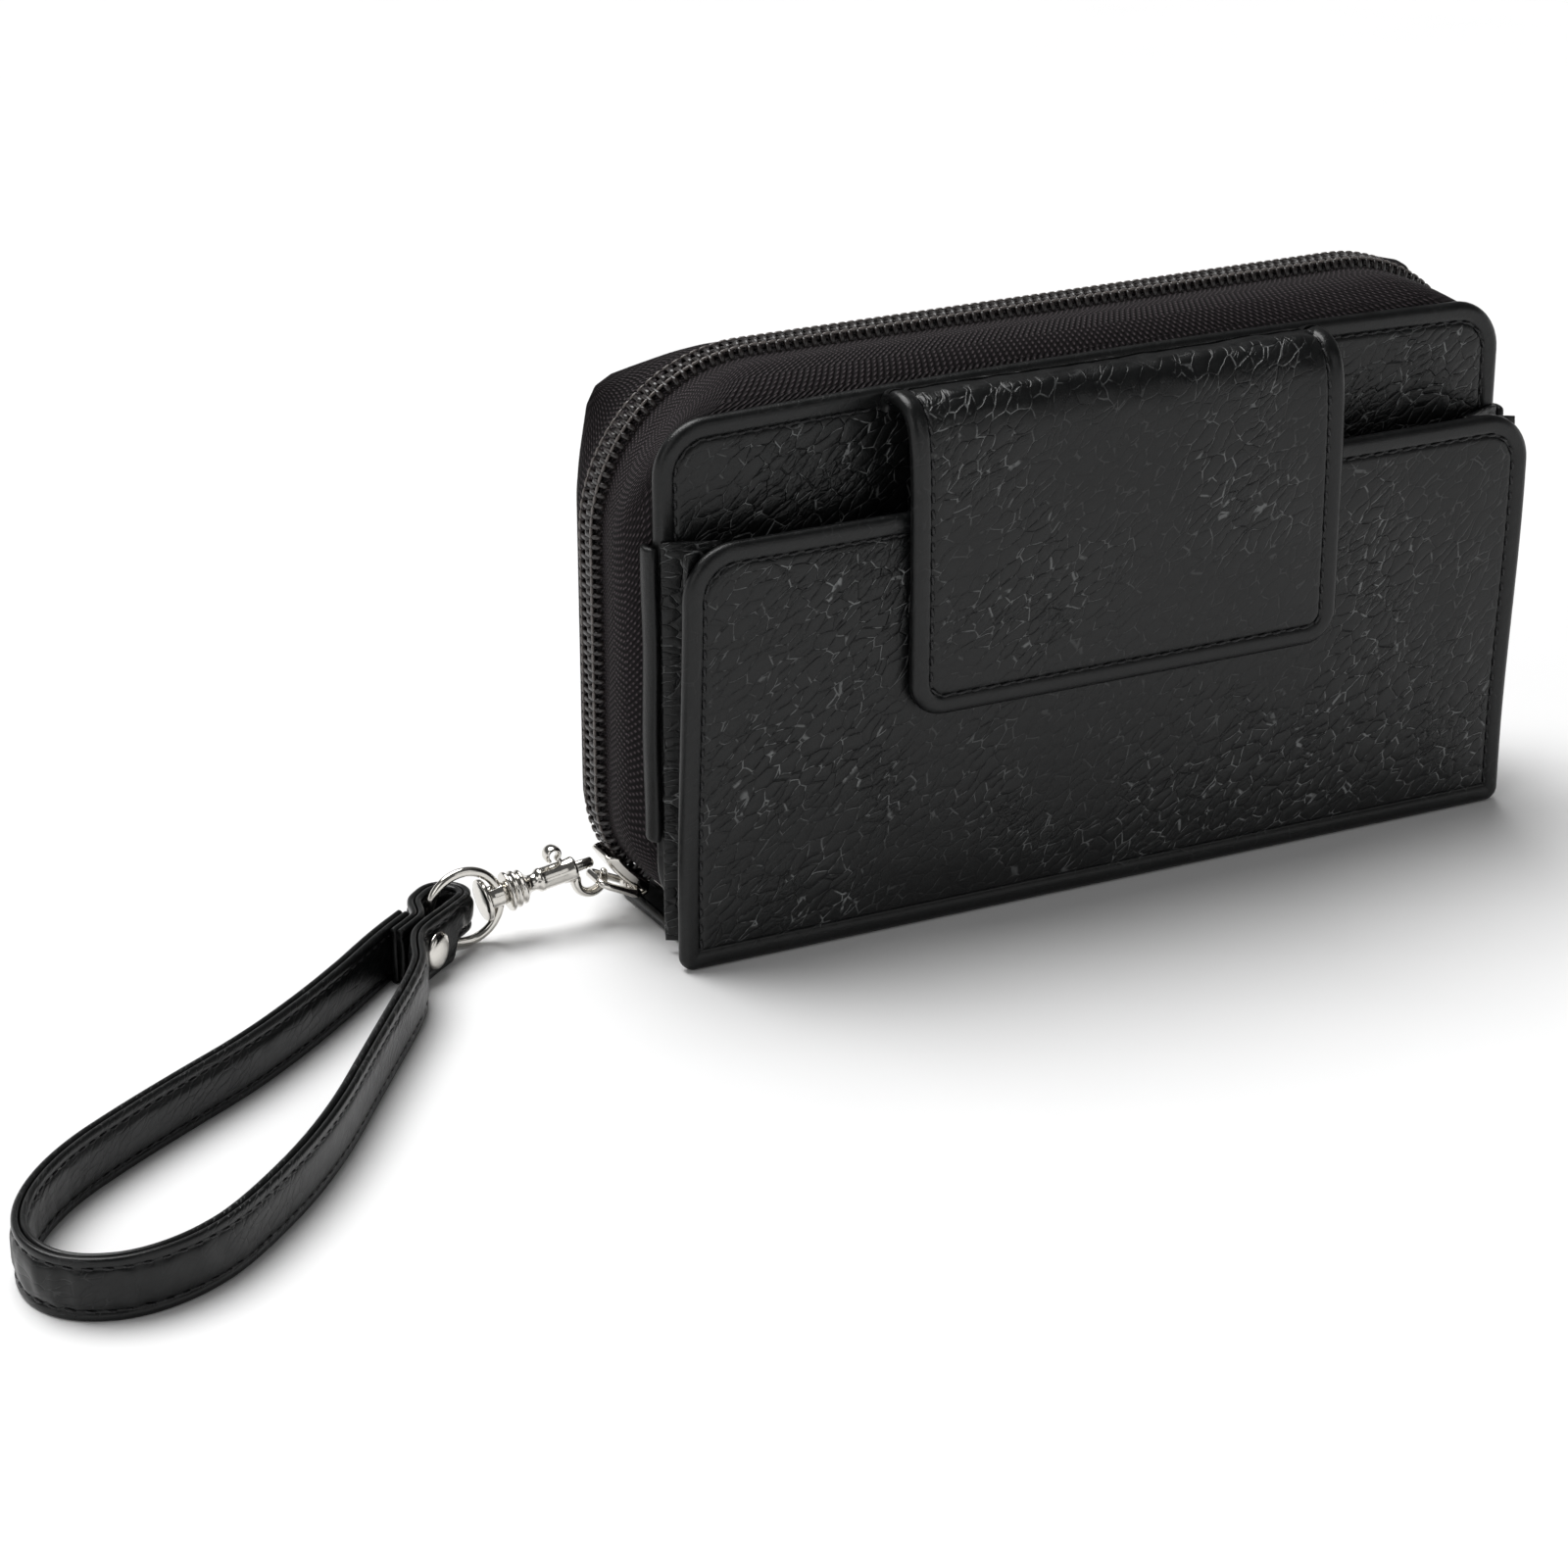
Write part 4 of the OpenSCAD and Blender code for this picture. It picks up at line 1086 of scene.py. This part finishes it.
coilStart = 10.5
coilEnd = alongChain[-1] - coilStart
rearParts = ("rear_coil", "rear_coil_end_left", "rear_coil_end_right")
for way, offset, body, name, nodes in (
    (-1, 0.0, "front_half", "front", ("front_coil",)),
    (1, zipLook["pitch"] / 2, None, "rear", rearParts),
):
    coil = makePiece(
        f"{name}ZipCoil", chainSurfaces(way, offset, coilStart, coilEnd), coilNylon, body, nodes,
        weld=None,
    )
    beads = makePiece(
        f"{name}ZipSeam", chainThreads(way, coilStart, coilEnd), seamThread, body,
        weld=None,
    )
    if body is None:
        for piece in (coil, beads):
            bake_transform(piece)
print("zip made")

# Turned and bent metal

joints = {joint["name"]: joint for joint in frame["joints"]}


def jointPlace(name):
    return np.array(joints[name]["pos_m"]) / mm


def lathe(profile, origin, axis, count=40):
    # profile of (distance along the axis, radius), softened and turned round the axis
    line = softened(profile, 1)
    axis = unit(np.array(axis, float))
    side = unit(np.cross(axis, (0.3, 1, 0.2)))
    other = np.cross(axis, side)
    angle = np.linspace(0, 2 * math.pi, count, endpoint=False)[:, None]
    ring = np.cos(angle) * side + np.sin(angle) * other
    points = np.array(origin) + line[:, None, :1] * axis + line[:, None, 1:] * ring[None]
    return [gridSurface(points, closeCols=True)]


def sweep(path, wide, high, flatWay, closed=False):
    # an oval of half-axes wide (along flatWay) and high carried along a path; the ends are
    # drawn to a point where the size is zero
    count = 16
    path = np.array(path, float)
    if closed:
        tangent = unit(np.roll(path, -1, axis=0) - np.roll(path, 1, axis=0))
    else:
        tangent = unit(np.gradient(path, axis=0))
    flatWay = np.broadcast_to(np.array(flatWay, float), path.shape)
    side = unit(flatWay - (flatWay * tangent).sum(1, keepdims=True) * tangent)
    up = np.cross(tangent, side)
    angle = np.linspace(0, 2 * math.pi, count, endpoint=False)
    wide = np.broadcast_to(wide, len(path))[:, None, None]
    high = np.broadcast_to(high, len(path))[:, None, None]
    points = (
        path[:, None]
        + wide * np.cos(angle)[None, :, None] * side[:, None]
        + high * np.sin(angle)[None, :, None] * up[:, None]
    )
    return [gridSurface(points, closeRows=closed, closeCols=True)]


def roundEnds(count, share=0.12):
    # 0 at both ends of a swept rod, 1 between them, along a quarter circle
    t = np.minimum(np.linspace(0, 1, count), np.linspace(1, 0, count)) / share
    return np.sqrt(1 - (1 - np.clip(t, 0, 1)) ** 2)


# slider on the lower left corner: two plates round the corner's arc, a lug and its flanges
slider = {
    "outer": 20.75, "inner": 15.9, "thick": 0.8, "half": 3.8, "reach": 14.5, "middle": 225.0,
    "flange": 1.15, "nose": 0.72,
}
cornerPlace = jointPlace("zip_slide")
lugPlace = jointPlace("pull_swing")
farPlace = jointPlace("hook_swing")


def sliderPlate(radius, fold):
    # a shield: u along the zip, v across it; its edges turn towards the teeth and one end narrows
    u = np.linspace(-1, 1, 33)
    v = np.linspace(-1, 1, 25)
    u, v = np.meshgrid(u, v, indexing="ij")
    half = slider["half"] * (1 - (1 - slider["nose"]) * ramp(u, 0.2, 1.0))
    corner = np.sqrt(1 - np.clip((np.abs(v) - 0.55) / 0.45, 0, 1) ** 2 * 0.32)
    angle = np.radians(slider["middle"] + u * corner * slider["reach"])
    turned = ramp(np.abs(v), 0.74, 1.0)
    r = radius + fold * slider["flange"] * turned + 0.18 * np.sign(-fold) * (1 - v**2) * (1 - u**2)
    y = cornerPlace[1] + v * half * (1 - 0.05 * turned)
    return np.stack([cornerPlace[0] + r * np.cos(angle), y, cornerPlace[2] + r * np.sin(angle)], -1)


def sliderSurfaces():
    outward = unit(lugPlace - cornerPlace)
    outward[1] = 0
    alongZip = np.array([outward[2], 0, -outward[0]])
    arch = np.linspace(0, math.pi, 25)[:, None]
    base = cornerPlace + outward * (slider["outer"] + 0.2)
    lugArch = base + np.cos(arch) * alongZip * 2.3 + np.sin(arch) * outward * 1.9
    noseAngle = math.radians(slider["middle"] + slider["reach"] * 0.62)
    way = np.array([math.cos(noseAngle), 0, math.sin(noseAngle)])
    post = cornerPlace + way * np.linspace(slider["inner"], slider["outer"], 9)[:, None]
    return (
        thickSheet(sliderPlate(slider["outer"], -1), slider["thick"])
        + thickSheet(sliderPlate(slider["inner"], 1), slider["thick"])
        + sweep(lugArch, 1.0, 0.5, (0, 1, 0))
        + sweep(post, 0.55, 0.9, (0, 1, 0))
    )


makePiece("zipSlider", sliderSurfaces(), nickel, "zip_slider", ("slider_body",), hard=60)


pull = {"corner": 1.6, "half": 3.35, "wire": 0.65}


def pullRing():
    # a rounded rectangle of wire from the lug to the hook's eye
    corner, half = pull["corner"], pull["half"]
    away = farPlace - lugPlace
    length = np.linalg.norm(away)
    away = away / length
    turns = np.radians(np.linspace(0, 90, 9))
    inward = (1 - np.sin(turns)) * corner
    sideways = (1 - np.cos(turns)) * corner
    ends = []
    for end, way in ((length, 1), (0, -1)):
        for side in (1, -1):
            ends.append(np.stack([end - way * inward, side * (half - sideways)], -1))
    flat = np.concatenate(ends)
    flat = flat[np.argsort(np.arctan2(flat[:, 1], flat[:, 0] - length / 2))]
    path = lugPlace + flat[:, :1] * away + flat[:, 1:] * np.array([0, 1.0, 0])
    return sweep(path, pull["wire"], pull["wire"], np.cross(away, (0, 1, 0)), closed=True)


makePiece("pullRingWire", pullRing(), nickel, "pull_ring", ("pull_ring",))

# snap hook, in its own frame: u along the barrel, w up across it
swivelPlace = jointPlace("ring_turn")
hookAxis = unit(np.array(joints["ring_turn"]["axis"], float))
hookUp = np.array([-hookAxis[2], 0, hookAxis[0]])


def hookPoint(u, w):
    u, w = np.broadcast_arrays(u, w)
    return swivelPlace + u[..., None] * hookAxis + w[..., None] * hookUp


hookShape = {
    "shank": [(-3.3, 0), (-3.3, 3.3), (-3.1, 3.62), (-2.5, 3.62), (-2.3, 3.3), (-2.3, 1.0), (-2.2, 1.0),
              (1.1, 1.0), (1.15, 3.0), (1.3, 3.35), (1.75, 3.4), (2.05, 2.9), (2.3, 2.75), (2.6, 3.1),
              (2.95, 3.2), (3.25, 2.8), (3.5, 2.6), (3.8, 2.9), (4.15, 2.95), (4.5, 2.4), (4.9, 1.9),
              (5.3, 1.5), (6.0, 1.4), (6.5, 1.45), (6.9, 1.8), (7.3, 2.05), (7.8, 1.95), (8.4, 1.9),
              (12.9, 1.9), (13.1, 2.02), (13.6, 2.02), (13.8, 1.8), (13.8, 1.02), (13.2, 1.0)],
    "jawCentre": (16.15, -2.6),
    "jawRadius": 2.5,
    "lead": (10.6, -1.3),  # where the jaw leaves the barrel
    "ringRadius": 6.2,
    "ringWire": 0.8,
}


def hookBody():
    # the turned shank and barrel, then a crescent that starts under the barrel and rounds the eye
    t = np.radians(np.linspace(158, 375, 60))
    cu, cw = hookShape["jawCentre"]
    share = np.linspace(0, 1, 60)
    r = hookShape["jawRadius"] + 0.25 * np.sin(share * math.pi)
    u, w = cu + r * np.cos(t), cw + r * np.sin(t)
    leadU, leadW = hookShape["lead"]
    lead = hookPoint(np.linspace(leadU, u[0], 10), np.linspace(leadW, w[0], 10))
    path = np.concatenate([lead[:-1], hookPoint(u, w)])
    size = roundEnds(len(path), 0.06)
    along = np.linspace(0, 1, len(path))
    swell = np.interp(along, [0, 0.2, 0.5, 0.8, 1], [0.9, 1.15, 1.35, 1.0, 0.8]) * size
    thick = np.interp(along, [0, 0.2, 0.45, 0.8, 1], [0.7, 0.85, 0.8, 0.62, 0.6]) * size
    shank = lathe(hookShape["shank"], swivelPlace, hookAxis)
    return shank + sweep(path, swell, thick, (0, 1, 0))


def hookBolt():
    # a pin with a domed tip, and a thumb knob that curls back over the barrel
    pin = [(10.4, 0), (10.4, 0.9), (16.6, 0.9), (17.0, 0.7), (17.15, 0.35), (17.2, 0)]
    curl = np.radians(np.linspace(-60, 235, 34))
    knob = np.concatenate([
        [[11.4, 0.7], [11.4, 1.6], [11.35, 2.5]],
        np.stack([10.35 + 1.15 * np.cos(curl), 3.75 + 1.15 * np.sin(curl)], -1),
    ])
    line = softened(knob, 1)
    size = roundEnds(len(line), 0.05)
    share = np.linspace(0, 1, len(line))
    wide = np.interp(share, [0, 0.2, 0.5, 1], [0.6, 0.8, 1.3, 1.2])
    return lathe(pin, swivelPlace, hookAxis, 28) + sweep(
        hookPoint(line[:, 0], line[:, 1]), wide * size, 0.42 * size, (0, 1, 0)
    )


def swivelRing():
    # a round wire ring and the hub that turns on the hook's shank
    t = np.linspace(0, 2 * math.pi, 96, endpoint=False)
    r, wire = hookShape["ringRadius"], hookShape["ringWire"]
    path = hookPoint(-r + r * np.cos(t), r * np.sin(t))
    hub = [(-2.15, 1.05), (-2.15, 1.7), (-1.9, 1.95), (0.8, 1.95), (1.05, 1.7), (1.05, 1.05), (-2.15, 1.05)]
    return sweep(path, wire, wire, (0, 1, 0), closed=True) + lathe(hub, swivelPlace, hookAxis, 32)


makePiece("snapHook", hookBody(), nickel, "snap_hook", ("hook_body",), hard=50)
makePiece("snapBolt", hookBolt(), nickel, "hook_bolt", ("hook_bolt",), hard=60)
makePiece("swivelRing", swivelRing(), nickel, "swivel_ring", ("swivel_ring",), hard=60)
print("hardware made")

# Wrist strap

strap = {
    "turn": 218.0,  # the way it leaves the ring
    "wide": 9.8,
    "ply": 1.16,
    "groove": 1.6,  # stitches from either edge
    "notchLow": 3.2,
    # route of the middle line: along the strap's own way, and across it
    "route": [(13.5, -0.6), (9, -0.6), (6.4, -0.5), (4.4, 0.8), (2.6, 2.4), (1, 3.2), (-2.6, 3.5),
              (-4.35, 3.03), (-5.63, 1.75), (-6.1, 0), (-5.63, -1.75), (-4.35, -3.03), (-2.6, -3.5),
              (2, -3.4), (8, -3.3), (12, -3.6), (16, -5.8), (22, -9.9), (47, -16.8), (76, -25.1),
              (102, -27.6), (113, -26), (121, -22), (125, -16.6), (126, -11), (123.6, -5), (118, 0),
              (109, 3.6), (98, 5.1), (86, 4.4), (72, 2.9), (57, 0.9), (42, 0.5), (28, 1), (19, 1.8),
              (13, 2.1), (6.8, 2.1)],
    "rivetAt": 8.6,
    "apart": 0.03,  # half the gap between the plies
}
strapTurn = math.radians(strap["turn"])
strapPivot = jointPlace("strap_swing")
strapLine = softened(strap["route"], 3)
strapRun = runOf(strapLine)
strapWay = unit(np.gradient(strapLine, axis=0))
strapNormal = np.stack([-strapWay[:, 1], strapWay[:, 0]], -1)


def strapPoint(flat, z):
    # along and across the strap's own way, and up, to a place in millimetres
    cos, sin = math.cos(strapTurn), math.sin(strapTurn)
    x = strapPivot[0] + flat[..., 0] * cos + flat[..., 1] * sin
    y = strapPivot[1] + flat[..., 0] * sin - flat[..., 1] * cos
    return np.stack([x, y, z + 0 * x], -1)


def strapEdge(s):
    # the lower edge rises near the ring, where the strap is cut narrow to pass through it
    return (strap["notchLow"] + 0.05) * (1 - ramp(s, 0.4, 2.4))


def plySurfaces(side):
    # section: a flat face with a stitch groove near both edges, half-round edges and a flat back,
    # carried along the route; faces crease across the strap where it bends
    roll = strap["ply"] / 2
    turn = np.radians(np.linspace(0, 90, 5))
    inner = [0.8, 1.1, 1.35, 1.6, 1.85, 2.2, 2.9, 3.7, 4.9]
    fromEdge = np.concatenate([roll * (1 - np.cos(turn)), inner])
    height = np.concatenate([roll * np.sin(turn), np.full(len(inner), roll)])
    across = np.concatenate([fromEdge, strap["wide"] - fromEdge[-2::-1]])
    rise = np.concatenate([height, height[-2::-1]])
    low = strapEdge(strapLine[:, 0])
    z = low[:, None] + across[None] * ((strap["wide"] - low) / strap["wide"])[:, None]
    depth = np.minimum(across, strap["wide"] - across)[None]
    groove = -0.3 * np.exp(-(((depth - strap["groove"]) / 0.3) ** 2))
    puff = 0.22 * ramp(depth, strap["groove"], 3.4)
    sampled = np.stack([strapRun[:, None] + 0 * z, z * 0.5, np.full(z.shape, 7.0 * side)], -1)
    bend = np.abs(np.gradient(np.unwrap(np.arctan2(strapWay[:, 1], strapWay[:, 0])), strapRun))
    bend = np.convolve(bend, np.ones(15) / 15, "same")[:, None]
    crease = ripples(sampled.reshape(-1, 3), 31 + side, 12, 2.6, (1, 0.35, 1)).reshape(z.shape)
    amount = (0.035 + 0.16 * np.clip(bend / 0.05, 0, 1)) * ramp(depth, 0.6, 2.6)
    outside = rise + (groove + puff + crease * amount) * (rise / roll) ** 2
    middle = side * (roll + strap["apart"])
    surfaces = []
    for way, lift in ((side, outside), (-side, rise + 0 * z)):
        flat = strapLine[:, None] + (middle + way * lift)[..., None] * strapNormal[:, None]
        surfaces.append(gridSurface(strapPoint(flat, z)))
    for row in (0, -1):
        strip = np.stack([
            strapLine[row] + (middle + side * outside[row])[:, None] * strapNormal[row],
            strapLine[row] + (middle - side * rise)[:, None] * strapNormal[row],
        ])
        surfaces.append(gridSurface(strapPoint(strip, np.stack([z[row], z[row]]))))
    return surfaces


def strapThreads(side):
    # stitches along both edges of a ply's outer face
    low = strapEdge(strapLine[:, 0])

    def place(points):
        run, height, z = points.T
        out = unit(readAt(run, strapRun, strapNormal))
        lowHere = np.interp(run, strapRun, low)
        lift = side * (strap["ply"] + strap["apart"] + height)
        flat = readAt(run, strapRun, strapLine) + lift[:, None] * out
        return strapPoint(flat, lowHere + z * (strap["wide"] - lowHere) / strap["wide"])

    surfaces = []
    for z in (strap["groove"], strap["wide"] - strap["groove"]):
        run = np.linspace(2.0, strapRun[-1] - 2.0, 400)
        path = np.stack([run, np.full(len(run), z)], -1)
        surfaces += stitchSurfaces(path, place, -0.14, pitch=2.6, radius=0.22, length=1.9)
    return surfaces


for name, side, node in (("strapFront", -1, "strap_outer"), ("strapBack", 1, "strap_inner")):
    makePiece(f"{name}Leather", plySurfaces(side), strapLeather, "wrist_strap", (node,))
    makePiece(f"{name}Stitches", strapThreads(side), thread, "wrist_strap", weld=None)

# rivet: a domed cap on each outer face and the shank between them
acrossStrap = np.array([math.sin(strapTurn), -math.cos(strapTurn), 0])
rivetPlace = strapPoint(np.array([strap["rivetAt"], 0.0]), strap["wide"] / 2)
dome = [(0, 0), (0, 2.6), (-0.05, 3.05), (-0.35, 3.2), (-0.75, 3.0), (-1.05, 2.3), (-1.25, 1.2), (-1.3, 0)]
frontDome = [(h - 4.95, r) for h, r in dome]
backDome = [(3.5 - h, r) for h, r in dome]
shank = [(-5.0, 0), (-5.0, 1.15), (3.5, 1.15), (3.5, 0)]
makePiece(
    "rivetFront", lathe(frontDome, rivetPlace, acrossStrap) + lathe(shank, rivetPlace, acrossStrap, 20),
    nickel, "wrist_strap", ("strap_rivet",),
)
makePiece(
    "rivetBack", lathe(backDome, rivetPlace, acrossStrap), nickel, "wrist_strap", ("rivet_cap",),
)
print("strap made")

# Inside

leafLook = {"corner": 3.5, "topCorner": 5.0, "groove": 2.2, "spans": (48, 26), "fill": 0.92, "wave": 0.0192}
leafInsets = np.array([0.9, 1.4, 1.8, 2.05, 2.2, 2.35, 2.6, 3.1, 3.9])


def leafSize(low, high):
    return {
        "x0": low[0], "x1": high[0], "z0": low[2], "z1": high[2],
        "low": leafLook["corner"], "top": leafLook["topCorner"],
    }


def makeLeaf(name, node, body, material, way, stitched):
    # a leather or cloth leaf the size of its CAD solid, a little uneven, stitched round three sides
    low, high = edges(node)
    size = leafSize(low, high)
    thick = (high[1] - low[1]) * leafLook["fill"]
    edge = stitchedEdge(leafLook["groove"], 0.05, 0.14 if stitched else 0.0)
    seed = sum(ord(letter) for letter in name)

    def detail(x, z, d):
        where = np.stack([x, z * 1.5, 0 * x], -1)
        return edge(x, z, d) * 0.6 + leafLook["wave"] * ripples(where, seed, 8, 26.0) * ramp(d, 1, 8)

    place = facing((low[1] + high[1]) / 2, way)
    surfaces = panelSurfaces(size, thick, detail, place, leafLook["spans"], leafInsets)
    makePiece(name, surfaces, material, body, (node,))
    if stitched:
        path = sidesAndTop(size, leafLook["groove"], leafLook["spans"], low[2] + 3)
        threads = stitchSurfaces(path, place, thick / 2 - 0.1, radius=0.16)
        makePiece(f"{name}Stitches", threads, thread, body, weld=None)


slotOf = {row["node"]: row["material_slot"] for row in frame["record"]["subparts"]}
for name, node, body, material, way, stitched in (
    ("cardPocketTall", "card_pocket_tall", "front_half", pocketLeather, 1, True),
    ("cardPocketMiddle", "card_pocket_middle", "front_half", pocketLeather, 1, True),
    ("cardPocketShort", "card_pocket_short", "front_half", pocketLeather, 1, True),
    ("billPocket", "bill_pocket", "rear_half", liningCloth, -1, True),
    ("rearCardPocketTall", "rear_card_pocket_tall", "rear_half", pocketLeather, -1, True),
    ("rearCardPocketShort", "rear_card_pocket_short", "rear_half", pocketLeather, -1, True),
    ("coinPocketFront", "coin_pocket_front", "coin_pocket", pocketLeather, -1, True),
    ("frontLining", "front_lining", "front_half", liningCloth, 1, False),
    ("rearLining", "rear_lining", "rear_half", liningCloth, -1, False),
):
    makeLeaf(name, node, body, material, way, stitched)

# base leather and its lining, lying flat between the covers
baseLook = {"inset": 1.8, "corner": 6.0, "liningInset": 0.3, "liningCorner": 1.5, "fill": 0.96}


def lyingLeaf(name, node, material, inset, corner):
    low, high = edges(node)
    size = {
        "x0": low[0] + inset, "x1": high[0] - inset, "z0": low[1] + 0.2, "z1": high[1] - 0.4,
        "low": corner, "top": corner,
    }

    def place(points):
        return np.stack([points[:, 0], points[:, 2], (low[2] + high[2]) / 2 - points[:, 1]], -1)

    thick = (high[2] - low[2]) * baseLook["fill"]
    surfaces = panelSurfaces(size, thick, stitchedEdge(sink=0.0), place, (60, 16), leafInsets)
    makePiece(name, surfaces, material, "front_half", (node,))


lyingLeaf("baseLeather", "base_panel", pebbledLeather, baseLook["inset"], baseLook["corner"])
lyingLeaf("baseLining", "base_lining", liningCloth, baseLook["liningInset"], baseLook["liningCorner"])

# coin pocket: its back leaf, and the gusset that joins it to the front leaf on three sides
coinLow, coinHigh = edges("coin_pocket_back")
coinLook = {"leaf": 0.8, "corner": 4.0, "gusset": 0.5, "tape": 0.5, "toothScale": 0.42}


def coinBack():
    place = facing(coinHigh[1] - coinLook["leaf"] / 2, 1)
    plain = stitchedEdge(leafLook["groove"], 0.03, 0.08)
    thick = coinLook["leaf"] * leafLook["fill"]
    return panelSurfaces(leafSize(coinLow, coinHigh), thick, plain, place, leafLook["spans"], leafInsets)


def coinGusset():
    # down one side, round the lower corners and up the other, a shallow fold inwards between leaves
    size = {**leafSize(coinLow, coinHigh), "low": coinLook["corner"], "top": 0.05}
    bottom, right, _, left = panelSides(size, 1.0, (30, 20))
    path = np.concatenate([left[:-5][::-1], bottom[1:-1], right[:-5]])
    tangent = unit(np.gradient(path, axis=0))
    inwards = np.stack([-tangent[:, 1], tangent[:, 0]], -1)
    t = np.linspace(0, 1, 9)
    flat = path[:, None] + (1.1 * np.sin(math.pi * t))[None, :, None] * inwards[:, None]
    y = coinLow[1] + 0.1 + t * (coinHigh[1] - coinLook["leaf"] - coinLow[1] - 0.1)
    return np.stack([flat[..., 0], np.broadcast_to(y, flat.shape[:2]), flat[..., 1]], -1)


makePiece(
    "coinPocketBack", coinBack() + thickSheet(coinGusset(), coinLook["gusset"]), pocketLeather,
    "coin_pocket", ("coin_pocket_back",),
)

coinTapeLow, coinTapeHigh = edges("coin_zip_tape")
coinMiddle = (coinTapeLow[1] + coinTapeHigh[1]) / 2


def coinTape(way):
    # each tape rises from its leaf and leans in to the chain
    along = np.linspace(coinTapeLow[0], coinTapeHigh[0], 40)
    t = np.linspace(0, 1, 9)
    y = coinMiddle + way * (1.0 - 0.75 * ramp(t, 0.3, 1))
    z = coinTapeLow[2] - 2 + t * (coinTapeHigh[2] - coinTapeLow[2] + 2)
    sheet = np.stack(np.broadcast_arrays(along[:, None], y[None], z[None]), -1)
    uv = np.stack(np.broadcast_arrays(along[:, None], 6 * t[None]), -1)
    return thickSheet(sheet, coinLook["tape"], uv, 2)


def coinTeeth(way):
    # the main chain's tooth at a smaller size, in a straight row
    points, quads, caps = toothBlock()
    points = points * coinLook["toothScale"]
    at = np.arange(coinTapeLow[0] + 1, coinTapeHigh[0] - 1, zipLook["pitch"] * 0.75)
    at = at + (0.62 if way > 0 else 0)
    x = at[:, None] + points[None, :, 0]
    y = coinMiddle + way * (1.15 - points[None, :, 1]) + 0 * x
    z = coinTapeHigh[2] + 0.65 + points[None, :, 2] + 0 * x
    return repeated(np.stack([x, y, z], -1), quads, caps)


makePiece(
    "coinZipTape", coinTape(-1) + coinTape(1), tapeCloth, "coin_pocket", ("coin_zip_tape",)
)
makePiece(
    "coinZipCoil", coinTeeth(-1) + coinTeeth(1), coilNylon, "coin_pocket", ("coin_zip_chain",),
    weld=None,
)
print("inside made")

# Floor and light


def makeStage():
    m = Finish("paleFloor")
    speckle = m.noise(m.place(), 0.02, 2)
    floorLook = m.finish(m.mixColour(speckle, *studio["floorColours"]), 0.8)
    mesh = bpy.data.meshes.new("floor")
    reach = studio["floor"]
    corners = [(x * reach, y * reach, 0) for x, y in ((-1, -1), (1, -1), (1, 1), (-1, 1))]
    mesh.from_pydata(corners, [], [(0, 1, 2, 3)])
    floor = bpy.data.objects.new("floor", mesh)
    mesh.materials.append(floorLook)
    scene.collection.objects.link(floor)
    lightUp()


studio = {
    "floor": 20.0,  # reach of the floor either way, in metres
    "floorColours": ((0.9, 0.9, 0.9), (0.93, 0.93, 0.93)),
    "haze": (0.05, 0.3),  # heights between which the sky passes from horizon to overhead
    "sky": 0.1,  # brightness overhead
    "horizon": 0.95,
    "sunPower": 3.3,
    "sunSpread": math.radians(46),
    "sunTurn": (math.radians(-24), math.radians(-8), 0),  # it stands a little behind the case
    "boxes": (  # name, place, aim, size, power
        ("leftSoftbox", (-1.2, -0.5, 0.8), (-0.05, 0, 0.04), 0.8, 2.5),
        ("frontFill", (0.5, -1.5, 0.9), (0, 0, 0.04), 0.9, 2.0),
    ),
}


def lightUp():
    # a broad overhead light, two weak softboxes and a sky that is pale only near the horizon
    world = bpy.data.worlds.new("studio")
    world.use_nodes = True
    tree = world.node_tree
    where = tree.nodes.new("ShaderNodeTexCoord")
    split = tree.nodes.new("ShaderNodeSeparateXYZ")
    level = tree.nodes.new("ShaderNodeMapRange")
    level.interpolation_type = "SMOOTHSTEP"
    values = (*studio["haze"], studio["horizon"], studio["sky"])
    for socket, value in zip(("From Min", "From Max", "To Min", "To Max"), values):
        level.inputs[socket].default_value = value
    tree.links.new(where.outputs["Generated"], split.inputs[0])
    tree.links.new(split.outputs["Z"], level.inputs["Value"])
    tree.links.new(level.outputs[0], tree.nodes["Background"].inputs["Strength"])
    tree.nodes["Background"].inputs["Color"].default_value = (1, 1, 1, 1)
    scene.world = world
    sun = bpy.data.lights.new("overhead", "SUN")
    sun.energy, sun.angle = studio["sunPower"], studio["sunSpread"]
    lamp = bpy.data.objects.new("overhead", sun)
    lamp.rotation_euler = studio["sunTurn"]
    scene.collection.objects.link(lamp)
    for name, place, aim, size, power in studio["boxes"]:
        data = bpy.data.lights.new(name, "AREA")
        data.shape, data.size, data.energy = "SQUARE", size, power
        lamp = bpy.data.objects.new(name, data)
        lamp.rotation_euler = (Vector(aim) - Vector(place)).to_track_quat("-Z", "Y").to_euler()
        lamp.location = place
        scene.collection.objects.link(lamp)


makeStage()

# What is left of the frame gets a finish of its own

nodeFinish = {
    "leather": pocketLeather, "lining": liningCloth, "zip_tape": liningCloth, "zip_coil": coilNylon,
    "board": boardFibre, "nickel": nickel,
}
for nodeName, cadObject in frame["nodes"].items():
    cadObject.data.materials.clear()
    cadObject.data.materials.append(nodeFinish[slotOf[nodeName]])

print("scene ready")
